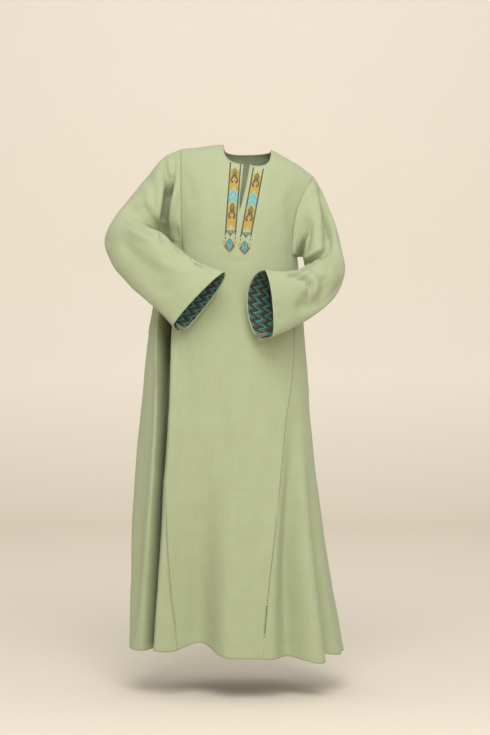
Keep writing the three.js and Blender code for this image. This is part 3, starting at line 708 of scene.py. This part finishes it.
def template_of(shape):
    """A mesh from a function that fills a bmesh."""
    bm = bmesh.new()
    shape(bm)
    return mesh_of(bm, "template")


def thread_ball(bm):
    bmesh.ops.create_icosphere(bm, subdivisions=1, radius=1)


def thread_bar(bm):
    """A bundle of threads drawn together at its middle, along X."""
    turn = Matrix.Rotation(math.pi / 2, 4, "Y")
    for side, wide, narrow in ((-0.5, 1.0, 0.7), (0.5, 0.7, 1.0)):
        lying = turn @ Matrix.Translation((0, 0, side))
        bmesh.ops.create_cone(bm, segments=8, radius1=wide, radius2=narrow, depth=1, matrix=lying)
    bmesh.ops.remove_doubles(bm, verts=bm.verts, dist=1e-4)
    bmesh.ops.recalc_face_normals(bm, faces=bm.faces)


BALL = template_of(thread_ball)
BAR = template_of(thread_bar)


def resampled(points, pitch, *others):
    """Points at an even pitch along a line, with others of its values there."""
    run = run_of(points)
    at = np.arange(pitch / 2, run[-1], pitch)
    return [np.stack([np.interp(at, run, v[:, k]) for k in range(3)], axis=1) for v in (points, *others)]


# Materials, with their lengths in metres

WAVE_LENGTH = 0.31416  # of a wave texture's bands at scale 1
SLUBS = ((330.0, 12.0, 1.0), (12.0, 330.0, 1.0))  # noise across and along the threads of each way
PATTERN_STEP = (0.0014, 0.0014, 1.0)  # the facing's pattern steps in its threads
ZIGZAG_HALF, ZIGZAG_SLOPE, ZIGZAG_REPEAT, TOOTH_HALF = 0.0115, 1.35, 0.0225, 0.0038


def shade(colour):
    """An sRGB hex colour as linear light."""
    parts = [int(colour[k : k + 2], 16) / 255 for k in (1, 3, 5)]
    return (*[c / 12.92 if c <= 0.04045 else ((c + 0.055) / 1.055) ** 2.4 for c in parts], 1.0)


def node(tree, kind, links=(), **settings):
    """Adds a node with its settings, and gives its inputs values or links."""
    made = tree.nodes.new(kind)
    for name, value in settings.items():
        setattr(made, name, value)
    for name, value in dict(links).items():
        if isinstance(value, bpy.types.Node):
            value = value.outputs[0]
        if isinstance(value, bpy.types.NodeSocket):
            tree.links.new(value, made.inputs[name])
        else:
            made.inputs[name].default_value = value
    return made


def blank(name):
    """A material with only its shader and output."""
    material = bpy.data.materials.new(name)
    material.use_nodes = True
    tree = material.node_tree
    tree.nodes.clear()
    shader = node(tree, "ShaderNodeBsdfPrincipled")
    node(tree, "ShaderNodeOutputMaterial", {"Surface": shader.outputs["BSDF"]})
    return material, tree, shader


def worked(tree, operation, *values):
    """A math node on values or links."""
    return node(tree, "ShaderNodeMath", dict(enumerate(values)), operation=operation)


def clouded(tree, place, scale, detail):
    return node(tree, "ShaderNodeTexNoise", {"Vector": place, "Scale": scale, "Detail": detail})


def mixed(tree, factor, low, high):
    """The colour between two colours or links."""
    links = {"Factor": factor, "A": low, "B": high}
    return node(tree, "ShaderNodeMix", links, data_type="RGBA").outputs["Result"]


def dressed(tree, shader, colour, relief, gloss):
    """Gives a cloth its colour, its relief (height, strength, metres) and gloss (rough, specular, sheen)."""
    tree.links.new(colour, shader.inputs["Base Color"])
    bump = node(tree, "ShaderNodeBump", dict(zip(("Height", "Strength", "Distance"), relief)))
    tree.links.new(bump.outputs["Normal"], shader.inputs["Normal"])
    for name, value in zip(("Roughness", "Specular IOR Level", "Sheen Weight"), gloss):
        shader.inputs[name].default_value = value


def woven(tree, uv, thread):
    """The height of a plain weave of threads that are so many metres apart: over and under by turns."""
    bands = WAVE_LENGTH / (2 * thread)
    links = {"Vector": uv, "Scale": bands, "Distortion": 1.2, "Detail": 1.0, "Detail Scale": 0.6}
    ways = [node(tree, "ShaderNodeTexWave", links, bands_direction=way).outputs["Fac"] for way in "XY"]
    return worked(tree, "ADD", *ways)


def slub_linen():
    """Washed plain-weave linen: matt, with thicker slub threads both ways and a faint bloom of fibre ends."""
    material, tree, shader = blank("slub_linen")
    uv = node(tree, "ShaderNodeTexCoord").outputs["UV"]
    # Slubs are about 3 mm wide here, coarser than the real 1 mm, so that they show, and 80 mm long.
    ways = [node(tree, "ShaderNodeMapping", {"Vector": uv, "Scale": scale}) for scale in SLUBS]
    slubs = worked(tree, "ADD", *[clouded(tree, way, 1.0, 3.0) for way in ways])
    slubs = node(tree, "ShaderNodeMapRange", {"Value": slubs, "From Min": 0.72, "From Max": 1.28})
    clouds = clouded(tree, uv, 16.0, 4.0)  # of dye, about 60 mm across
    threads = mixed(tree, slubs, shade("#A1A984"), shade("#ACB195"))
    height = worked(tree, "MULTIPLY_ADD", slubs, 0.8, woven(tree, uv, 0.0011))
    colour = mixed(tree, clouds, threads, shade("#A0A87E"))
    dressed(tree, shader, colour, (height, 0.5, 0.00022), (0.86, 0.25, 0.12))
    return material


def patterned_facing():
    """A charcoal cotton facing woven with teal zigzags, an olive line beside each, and teal and red teeth."""
    material, tree, shader = blank("patterned_facing")
    uv = node(tree, "ShaderNodeTexCoord").outputs["UV"]
    snapped = node(tree, "ShaderNodeVectorMath", {0: uv, 1: PATTERN_STEP}, operation="SNAP")
    spot = node(tree, "ShaderNodeSeparateXYZ", {"Vector": snapped})
    leg = worked(tree, "PINGPONG", spot.outputs["X"], ZIGZAG_HALF)
    height = worked(tree, "MULTIPLY_ADD", leg, ZIGZAG_SLOPE, spot.outputs["Y"])
    across = worked(tree, "FLOORED_MODULO", height, ZIGZAG_REPEAT)
    teeth = worked(tree, "ADD", worked(tree, "PINGPONG", spot.outputs["X"], TOOTH_HALF), across)
    colour = shade("#37372F")
    # Where in the repeat each line runs, and its half width, in metres
    for centre, half, paint, lines in (
        (0.0190, 0.0005, "#6A3630", teeth),
        (0.0105, 0.0006, "#77763C", across),
        (0.0150, 0.0009, "#2F6F6B", teeth),
        (0.0060, 0.0017, "#3B938D", across),
    ):
        colour = mixed(tree, worked(tree, "COMPARE", lines, centre, half), colour, shade(paint))
    dressed(tree, shader, colour, (woven(tree, uv, 0.0009), 0.5, 0.0002), (0.82, 0.25, 0.08))
    return material


def cotton_thread(name, paint, deep):
    """Stranded embroidery cotton: soft gloss along the strands and a little uneven in colour."""
    material, tree, shader = blank(name)
    place = node(tree, "ShaderNodeTexCoord").outputs["Object"]
    # Patches about 3 mm across, a stitch or two, and strands 0.7 mm apart
    colour = mixed(tree, clouded(tree, place, 320.0, 2.0), shade(deep), shade(paint))
    links = {"Vector": place, "Scale": 520.0, "Distortion": 2.0}
    strands = node(tree, "ShaderNodeTexWave", links, bands_direction="DIAGONAL").outputs["Fac"]
    dressed(tree, shader, colour, (strands, 0.3, 0.0001), (0.55, 0.4, 0.1))
    return material


LINEN = slub_linen()
FACING = patterned_facing()
SEWING = cotton_thread("sewing_cotton", "#C3CBA2", "#A9B387")
OPENWORK_THREAD = cotton_thread("openwork_cotton", "#CDD4B2", "#B4BD94")
COTTONS = {
    "s": cotton_thread("slate_cotton", "#4A5058", "#353B43"),
    "m": cotton_thread("mustard_cotton", "#E4BE48", "#D3AA38"),
    "t": cotton_thread("turquoise_cotton", "#82D8E2", "#66C4D0"),
    "o": cotton_thread("ochre_cotton", "#C8923A", "#A9752A"),
}

# Cloth of the body

grids = {}
shells = {}
# Each piece's grid and creases, and what its first and last columns are sewn with
BODY_PIECES = {
    "front_panel": (panel_grid(1), BODY_CREASES, "openwork", "openwork"),
    "back_panel": (panel_grid(-1), (), "openwork", "openwork"),
    "left_front_gore": (gore_grid(1), BODY_CREASES, "openwork", "plain"),
    "left_back_gore": (gore_grid(2), (), "plain", "openwork"),
    "right_back_gore": (gore_grid(4), (), "openwork", "pocket"),
    "right_front_gore": (gore_grid(5), BODY_CREASES, "pocket", "openwork"),
}
POCKET_TOP, POCKET_BOTTOM, POCKET_GAP = -408.0, -525.0, 12.0
pocket_share = (POCKET_TOP - LEVELS) / (POCKET_TOP - POCKET_BOTTOM)
pocket_half = POCKET_GAP / 2 * np.sin(np.pi * np.clip(pocket_share, 0, 1))
for name, (grid, creases, *sewn) in BODY_PIECES.items():
    outward = outwards(grid, body_centre(grid))
    gores = len(grid) == SKIRT_ROWS + 1
    from_top = np.arange(len(grid))
    grid = worn(grid, outward, creases, smooth((from_top[:, None] if gores else EASED_ROWS) / EASED_ROWS))
    if gores:
        grid[0, :, 2] -= PLAIN_SEAM
    for side, kind in zip(("first", "last"), sewn):
        gaps = np.full(len(grid), PLAIN_SEAM / 2)
        if kind == "openwork":
            gaps = half_gaps(from_top[::-1] - HEM_CLOSED)
            if not gores:
                gaps = np.minimum(gaps, half_gaps(from_top - (0 if name == "front_panel" else BACK_CLOSED)))
        if kind == "pocket":
            gaps = gaps + pocket_half
        set_in(grid, side, gaps)
    grid[-HEM_ROWS:] += HEM_RISE * outward[-HEM_ROWS:]
    outward = outwards(grid, body_centre(grid))
    grids[name] = (grid, outward)
    shells[name] = spread(f"{name}_linen", turned_hem(grid, outward), outward, LINEN)

front_tree = tree_of(shells["front_panel"])
back_tree = tree_of(shells["back_panel"])
for piece in shells.values():
    thicken(piece, LINEN_WALL)

# Neck and slit

NECK_HALF = 64.0
NECK_ROUNDING = 3.2
NECK_STEPS, SLIT_STEPS = 44, 26
CUT_DEPTH, CUT_RISE = 240.0, 60.0
RAY_START = 0.5  # metres before or behind the shoulder line
SLIT = table(
    "z x half",
    (-52, -5.5, 9.5),
    (-100, -12, 8.2),
    (-144, -19.5, 5.6),
    (-168, -23, 2.8),
    (-177, -24.4, 1.0),
)


def neckline(side):
    """The neck's edge as seen from the front, from the wearer's right to left."""
    drop, tilt = (62, 8) if side > 0 else (20, 0)
    angle = np.linspace(-np.pi / 2, np.pi / 2, 2 * NECK_STEPS + 1)
    across = signed_power(np.sin(angle), 2 / NECK_ROUNDING)
    scoop = np.abs(np.cos(angle)) ** (2 / NECK_ROUNDING)
    x = SHOULDER_MIDDLE + NECK_HALF * across
    low = float(along(SHOULDER, "z", SHOULDER_MIDDLE, "x")) - drop - tilt * across
    return np.column_stack([x, lerp(along(SHOULDER, "z", x, "x"), low, scoop)])


def slit_side(sign):
    """One side of the neck slit, from the neckline down."""
    at = np.linspace(float(SLIT["z"][0]), float(SLIT["z"][-1]), SLIT_STEPS)
    return np.column_stack([along(SLIT, "x", at, "z") + sign * along(SLIT, "half", at, "z"), at])


front_edge = neckline(1)
right_half = front_edge[front_edge[:, 0] < slit_side(-1)[0, 0] - 1]
left_half = front_edge[front_edge[:, 0] > slit_side(1)[0, 0] + 1]
front_outline = np.concatenate([right_half, slit_side(-1), slit_side(1)[::-1], left_half])
back_outline = neckline(-1)


def cut_neck(piece, outline, start):
    """Cuts a neck out of a panel's wall, from a depth on."""
    bm = bmesh.new()
    lift = [outline[-1] + (0, CUT_RISE), outline[0] + (0, CUT_RISE)]
    corners = [bm.verts.new((x * MM, start * MM, z * MM)) for x, z in [*outline, *lift]]
    made = bmesh.ops.extrude_face_region(bm, geom=[bm.faces.new(corners)])
    moved = [v for v in made["geom"] if isinstance(v, bmesh.types.BMVert)]
    bmesh.ops.translate(bm, verts=moved, vec=(0, CUT_DEPTH * MM, 0))
    bmesh.ops.recalc_face_normals(bm, faces=bm.faces)
    cutter = placed("cutter", mesh_of(bm, "cutter"))
    boolean = piece.modifiers.new("neck", "BOOLEAN")
    boolean.object = cutter
    boolean.operation = "DIFFERENCE"
    boolean.solver = "EXACT"
    settle(piece)
    bpy.data.objects.remove(cutter)


cut_neck(shells["front_panel"], front_outline, -CUT_DEPTH)
cut_neck(shells["back_panel"], back_outline, 0)


def on_cloth(tree, outline, side):
    """Points of a panel's outer face at an outline seen from the front, with their outward directions."""
    spots, normals = [], []
    for x, z in outline:
        hit = tree.ray_cast(Vector((x * MM, -side * RAY_START, z * MM)), Vector((0, side, 0)))
        if hit[0] is None:
            hit = tree.find_nearest(Vector((x * MM, 0, z * MM)))
        spots.append(np.array(hit[0]) / MM)
        normals.append(np.array(hit[1]))
    return np.array(spots), unit(np.array(normals))


edge_front, out_front = on_cloth(front_tree, front_outline, 1)
edge_back, out_back = on_cloth(back_tree, back_outline[1:-1][::-1], -1)
neck_edge = np.concatenate([edge_front, edge_back])
neck_out = unit(np.concatenate([out_front, out_back]))
neck_line = neck_edge - neck_out * LINEN_WALL / 2
binding = roll("neck_binding", neck_line, neck_out, *BINDING_HALF, closed=True)

# Sleeves and facings

for hand, label, rows, folds, creases, reach in (
    (-1, "right", RIGHT_SLEEVE, RIGHT_FOLDS, RIGHT_CREASES, 2),
    (1, "left", LEFT_SLEEVE, LEFT_FOLDS, LEFT_CREASES, 18),
):
    grid = sleeve_grid(rows, folds, hand, reach)
    centre = grid[:, :-1].mean(axis=1, keepdims=True)
    outward = outwards(grid, centre, closed=True)
    outward[0] = (outward[0] + outward[1]) / 2
    count = grid.shape[1] - 1
    order = (np.arange(count + 1) - VENT_PLACE) % count
    past_underarm = np.abs(order - YOKE_ROWS - UNDERARM_COLUMNS) - UNDERARM_COLUMNS
    under = past_underarm < 0
    off_seam = np.maximum(past_underarm, np.arange(len(grid))[:, None])
    grid = worn(grid, unit(outward), creases, smooth(off_seam / EASED_ROWS))
    outward = outwards(grid, centre, closed=True)
    gap = np.minimum(half_gaps(order), half_gaps(count - order - BACK_CLOSED))
    gap[under] = PLAIN_SEAM / 2
    grid[0] += unit(grid[1] - grid[0]) * gap[:, None]
    grids[f"{label}_sleeve"] = (grid, outward)
    sleeve = spread(f"{label}_sleeve_linen", vented(grid, VENT_HALF_GAP, 0), outward, LINEN)
    thicken(sleeve, LINEN_WALL)
    shells[f"{label}_sleeve"] = sleeve
    inner = grid - outward * (LINEN_WALL + FACING_GAP)
    inner[-1] += unit(inner[-2] - inner[-1]) * FACING_SETBACK
    first = SLEEVE_ROWS - FACING_ROWS
    lining = vented(inner, FACING_VENT, first)
    facing = spread(f"{label}_cuff_lining", lining, outward[first:], FACING)
    thicken(facing, FACING_WALL)
    shells[f"{label}_cuff_facing"] = facing

# Openwork seams: rolled edges with bars of thread across the gap

seam_pieces = defaultdict(list, front_panel=[binding])


def openwork(name, left, right, normals, owner):
    """Thread bars and rolled edges along the gap between two edges."""
    middle = (left + right) / 2
    spots, across, out = resampled(middle, BAR_PITCH, right - left, normals)
    places = []
    for p, a, n in zip(spots, across, unit(out)):
        half = unit(a) * (np.linalg.norm(a) / 2 + BAR_GRIP)
        places.append(strand(p - half - n * BAR_SINK, p + half - n * BAR_SINK, n, *BAR_HALF))
    bars = scattered(f"{name}_bars", BAR, places, [OPENWORK_THREAD])
    inset = EDGE_INSET * unit(right - left)
    edges = [
        roll(f"{name}_edge_{k}", line - normals * EDGE_SINK, normals, *EDGE_HALF, sides=6)
        for k, line in ((1, left - inset), (2, right + inset))
    ]
    seam_pieces[owner].extend([bars, *edges])


def edge_of(piece, column, rows=slice(None)):
    """The points of one of a piece's edges, with their outward directions."""
    return [values[rows, column] for values in grids[piece]]


for face, label, panel_column, gore_column in (
    ("front", "right", 0, -1),
    ("front", "left", -1, 0),
    ("back", "left", -1, -1),
    ("back", "right", 0, 0),
):
    a, out_a = edge_of(f"{face}_panel", panel_column, slice(YOKE_ROWS, None))
    b, out_b = edge_of(f"{label}_{face}_gore", gore_column)
    openwork(f"{face}_{label}_seam", a, b, unit(out_a + out_b), f"{face}_panel")

for label, column in (("right", 0), ("left", -1)):
    around = [np.roll(values[0, :-1], -VENT_PLACE, axis=0) for values in grids[f"{label}_sleeve"]]
    for face, way in (("front", 1), ("back", -1)):
        a, out_a = edge_of(f"{face}_panel", column, slice(YOKE_ROWS + 1))
        b, out_b = (values[way * np.arange(YOKE_ROWS + 1) % len(values)] for values in around)
        openwork(f"{label}_{face}_armhole", a, b, unit(out_a + out_b), f"{face}_panel")

# Plain seams: a flat felled ridge at the sides, under the arms and on the shoulders


def felled(name, line, normals, owner):
    seam_pieces[owner].append(roll(name, line + normals * LAID, normals, *FELLED_HALF))


def between(first, second):
    """The side seam's line between the last column of one gore and the first of another."""
    (a, out_a), (b, out_b) = edge_of(first, -1), edge_of(second, 0)
    return (a + b) / 2, unit(out_a + out_b)


line, out = between("left_front_gore", "left_back_gore")
felled("left_side_seam", line, out, "left_front_gore")
line, out = between("right_back_gore", "right_front_gore")
upper = LEVELS > POCKET_TOP
lower = LEVELS < POCKET_BOTTOM
felled("right_side_seam_upper", line[upper], out[upper], "right_front_gore")
felled("right_side_seam_lower", line[lower], out[lower], "right_front_gore")
open_rows = ~upper & ~lower
for name, column in (("right_front_gore", 0), ("right_back_gore", -1)):
    line, out = edge_of(name, column, open_rows)
    seam_pieces[name].append(roll(f"{name}_slit_edge", line - out / 2, out, *SLIT_EDGE_HALF))
from_middle = SHOULDER_HALF * panel_across()
for label, chosen in (("right", from_middle < -NECK_HALF - 1), ("left", from_middle > NECK_HALF + 1)):
    line = (grids["front_panel"][0][0] + grids["back_panel"][0][0])[chosen] / 2
    felled(f"{label}_shoulder_seam", line, np.tile((0.0, 0.0, 1.0), (len(line), 1)), "back_panel")
for gore in ("right_front_gore", "right_back_gore", "left_front_gore", "left_back_gore"):
    grid, out = grids[gore]
    felled(f"{gore}_top_seam", grid[0] + (0, 0, TOP_SEAM_RISE), out[0], gore)

# Running stitches of the hem

for name in BODY_PIECES:
    grid, out = grids[name]
    row = round(HEM_DEPTH / ROW_PITCH)
    spots, outs = resampled(grid[-1 - row], STITCH_PITCH, out[-1 - row])
    forward = unit(np.gradient(spots, axis=0))
    places = [
        strand(p - f * STITCH_REACH + n * LAID, p + f * STITCH_REACH + n * LAID, n, *STITCH_HALF)
        for p, f, n in zip(spots, forward, unit(outs))
    ]
    seam_pieces[name].append(scattered(f"{name}_hem_stitches", BALL, places, [SEWING]))

# Cross-stitch bands beside the slit. Each letter is a stitch: s slate, m mustard, t turquoise, o ochre. A row
# is half a band from its rail to its middle, and is mirrored. The motifs are plain traditional ones: peaks,
# a hooked arch, flames, chevrons, a stepped fringe and a ringed pendant.

PEAK = (
    "....... ....... ....... ....... ....... ......m .....mm ....mmm ...mmms ..mmmss .mmmssm mmmmsms "
    "mmmssms mmmssms mmmsmss mmmsmss mmmsssm"
).split()
HOOKED_ARCH = (
    "mmmmsss mmmssss mmmssms mmsssms mmssmms msssmmm mssmmmm mssmmmm mssmsmm mssssmm mmsssmm mmmsmmm"
).split()
FLAMES = "mmmmmmm mmmmmmm mmmmmmm mmmmmmo mmmmmm. mmommm. mmmmm.. mmmmm..".split()
CHEVRONS = (
    "mmmm..t mmm..tt mm..ttt m..tttt ..ttttt ..ttttt .tttttt .ttttt. ttttt.. tttt..t ttt..tt tt..ttt "
    ".t.tttt ..ttttt .tttttt tttttt. ttttt.. tttt..m ttt..mm tt..mmm"
).split()
LOWER_PEAK = (
    "t..mmms ..mmmss ..mmmsm .mmmssm .mmmsms mmmssms mmmssms mmmsmss mmmsmss mmmsssm mmmsssm"
).split()
FADING = (
    "mmmmmmm mmmmmmm mmmmmmm mmmmmmm mmmmmmm mmmmmmo mmmmmm. mmommm. mmmmm.. mmmmm.. mmmm... mm.m... "
    "m.mm... m.m.... m...... ......."
).split()
FRINGE = "sss..ss.s ssss.s.s. ss.ss.s.s ss..ss.s. ss...ss.s ss....sss s......ss s.......s ........s"
MOTIFS = PEAK + HOOKED_ARCH + FLAMES + CHEVRONS + LOWER_PEAK + HOOKED_ARCH + FADING
BAND = ["ss" + half for half in MOTIFS] + FRINGE.split()
PENDANT = (
    ".........s ........ss .......sst .oo...sstt o..o.sstts o..o.sttst o..o.sttss .oo.osttst ..o.osttts "
    "..oosstttt .oossttsst .oossttstt ..oossttts ...oosstst ...oosstts ....oossts .....oosst ......oost "
    ".......oos ........oo"
).split()
DROPS = ".s....... ss....... .s.......".split()
# Each band's outer and inner rail from the neck down, and its pendant's middle, in the picture's units
BANDS = {
    "right": ((229.9, 161.9), (224.6, 236.4), (241.3, 164.4), (235.9, 236.4), (229.5, 245.3)),
    "left": ((252.9, 167.3), (239.8, 238.2), (264.0, 168.6), (251.1, 238.2), (244.6, 247.6)),
}
CELL = 1.8 / UNIT  # a stitch in the picture's units
PENDANT_STRETCH, DROP_GAP = 1.03, 0.6


def lattice(corner_at, rows, columns):
    """The corners of a block of stitches laid on the front panel."""
    spots = np.zeros((rows + 1, columns + 1, 3))
    normals = np.zeros((rows + 1, columns + 1, 3))
    origin = Vector(CAMERA * MM)
    for r in range(rows + 1):
        for c in range(columns + 1):
            px, py = corner_at(r, c)
            ray = Vector(((px - PICTURE_MIDDLE[0]) * UNIT, -CAMERA[1], (PICTURE_MIDDLE[1] - py) * UNIT))
            hit = front_tree.ray_cast(origin, ray.normalized())
            spots[r, c] = np.array(hit[0]) / MM
            normals[r, c] = np.array(hit[1])
    return spots, normals


def crosses(chart, corner_at, places, slots):
    """Adds each charted stitch's two strands, on a lattice with its corners at what corner_at gives."""
    spots, normals = lattice(corner_at, len(chart), 2 * len(chart[0]) - 1)
    letters = list(COTTONS)
    for r, half in enumerate(chart):
        for c, letter in enumerate(half + half[-2::-1]):
            if letter == ".":
                continue
            n = normals[r, c]
            strands = ((spots[r, c], spots[r + 1, c + 1]), (spots[r, c + 1], spots[r + 1, c]))
            for (a, b), lift in zip(strands, CROSS_LIFTS):
                places.append(strand(a + n * lift, b + n * lift, n, *CROSS_HALF))
                slots.append(letters.index(letter))


for label, (outer_top, outer_low, inner_top, inner_low, pendant) in BANDS.items():
    corners = [np.array(p) for p in (outer_top, outer_low, inner_top, inner_low)]
    places, slots = [], []
    columns = 2 * len(BAND[0]) - 1

    def band_corner(r, c):
        t = r / len(BAND)
        return lerp(lerp(corners[0], corners[1], t), lerp(corners[2], corners[3], t), c / columns)

    wide = 2 * len(PENDANT[0]) - 1

    def pendant_corner(r, c):
        down = (r - len(PENDANT) / 2) * PENDANT_STRETCH
        return (pendant[0] + (c - wide / 2) * CELL, pendant[1] + down * CELL)

    def drop_corner(r, c):
        x = corners[1][0] + c * (corners[3][0] - corners[1][0]) / columns
        return (x, corners[1][1] + DROP_GAP + r * CELL)

    for chart, corner_at in ((BAND, band_corner), (PENDANT, pendant_corner), (DROPS, drop_corner)):
        crosses(chart, corner_at, places, slots)
    band = scattered(f"{label}_band_stitches", BALL, places, list(COTTONS.values()), slots)
    seam_pieces["front_panel"].append(band)

# Each piece's flat cut and area in metres, and the pieces it rests on. The imported part of each name is
# hidden.

FLAT = {
    "front_panel": ((0.36, 1.42), 0.45, ["back_panel"]),
    "back_panel": ((0.36, 1.42), 0.44, ["front_panel"]),
    "left_front_gore": ((0.27, 1.09), 0.195, ["front_panel"]),
    "left_back_gore": ((0.27, 1.09), 0.19, ["back_panel"]),
    "right_back_gore": ((0.27, 1.09), 0.20, ["back_panel"]),
    "right_front_gore": ((0.3, 1.09), 0.23, ["front_panel"]),
    "right_sleeve": ((0.62, 0.58), 0.2, ["front_panel", "back_panel"]),
    "left_sleeve": ((0.6, 0.52), 0.15, ["front_panel", "back_panel"]),
    "right_cuff_facing": ((0.36, 0.075), None, ["right_sleeve"]),
    "left_cuff_facing": ((0.36, 0.07), None, ["left_sleeve"]),
}
for name, (flat, area, rests_on) in FLAT.items():
    piece = shells[name]
    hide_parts(name)
    seam_pieces[name]

# Floor, backdrop and light. The paper, in metres, starts before the camera and bends up far enough behind
# the robe to leave room for views of its back.

PAPER_FRONT, PAPER_BACK, PAPER_BEND, PAPER_LENGTH = 5.5, 5.2, 1.5, 15.0

PAPER_HALF_WIDTH = 6.0
PAINTED_SHADE_TOP = FLOOR * MM + 0.8  # painted shade: the paper is painted a little darker below it


def backdrop_paper():
    """Matt cream paper, with painted shade: darker on the floor, fading out up the bend."""
    material, tree, shader = blank("backdrop_paper")
    place = node(tree, "ShaderNodeTexCoord").outputs["Object"]
    height = node(tree, "ShaderNodeSeparateXYZ", {"Vector": place}).outputs["Z"]
    links = {"Value": height, "From Min": FLOOR * MM, "From Max": PAINTED_SHADE_TOP}
    grain = mixed(tree, clouded(tree, place, 3.0, 3.0), shade("#F6ECDB"), shade("#F8EFDF"))
    # Painted shade: the floor's darker cream fades into the paper's own colour 0.8 m above the floor
    colour = mixed(tree, node(tree, "ShaderNodeMapRange", links), shade("#E5DAC8"), grain)
    tree.links.new(colour, shader.inputs["Base Color"])
    shader.inputs["Roughness"].default_value = 1.0
    shader.inputs["Specular IOR Level"].default_value = 0.0
    return material


bm = bmesh.new()
bmesh.ops.create_grid(bm, x_segments=1, y_segments=90, size=1)
for vert in bm.verts:
    run = (vert.co.y + 1) / 2 * PAPER_LENGTH - PAPER_FRONT
    turn = min(max(run - PAPER_BACK, 0.0) / PAPER_BEND, math.pi / 2)
    straight = max(0.0, run - PAPER_BACK - PAPER_BEND * math.pi / 2)
    y = min(run, PAPER_BACK) + PAPER_BEND * math.sin(turn)
    vert.co = (vert.co.x * PAPER_HALF_WIDTH, y, FLOOR * MM + PAPER_BEND * (1 - math.cos(turn)) + straight)
bmesh.ops.recalc_face_normals(bm, faces=bm.faces)
backdrop = placed("backdrop", mesh_of(bm, "backdrop"))
backdrop.data.shade_smooth()
backdrop.data.materials.append(backdrop_paper())

world = bpy.data.worlds.new("studio")
bpy.context.scene.world = world
world.use_nodes = True
world.node_tree.nodes["Background"].inputs["Color"].default_value = (1.0, 1.0, 1.0, 1.0)
world.node_tree.nodes["Background"].inputs["Strength"].default_value = 0.66
# Each light's place, aim and size in metres, and its power in watts
for name, place, aim, size, power in (
    ("key", (-0.15, -3.2, 2.5), (0, 0, -0.2), 2.2, 107),
    ("fill", (0.8, -3.1, 0.9), (0, 0, -0.2), 1.8, 34),
    ("background_light", (0, 2.6, 2.6), (0, 6.7, 0), 3.0, 35),
):
    lamp = bpy.data.lights.new(name, "AREA")
    lamp.size = size
    lamp.energy = power
    light = placed(name, lamp)
    light.location = place
    light.rotation_euler = (Vector(aim) - Vector(place)).to_track_quat("-Z", "Y").to_euler()
bpy.context.scene.view_settings.view_transform = "Standard"
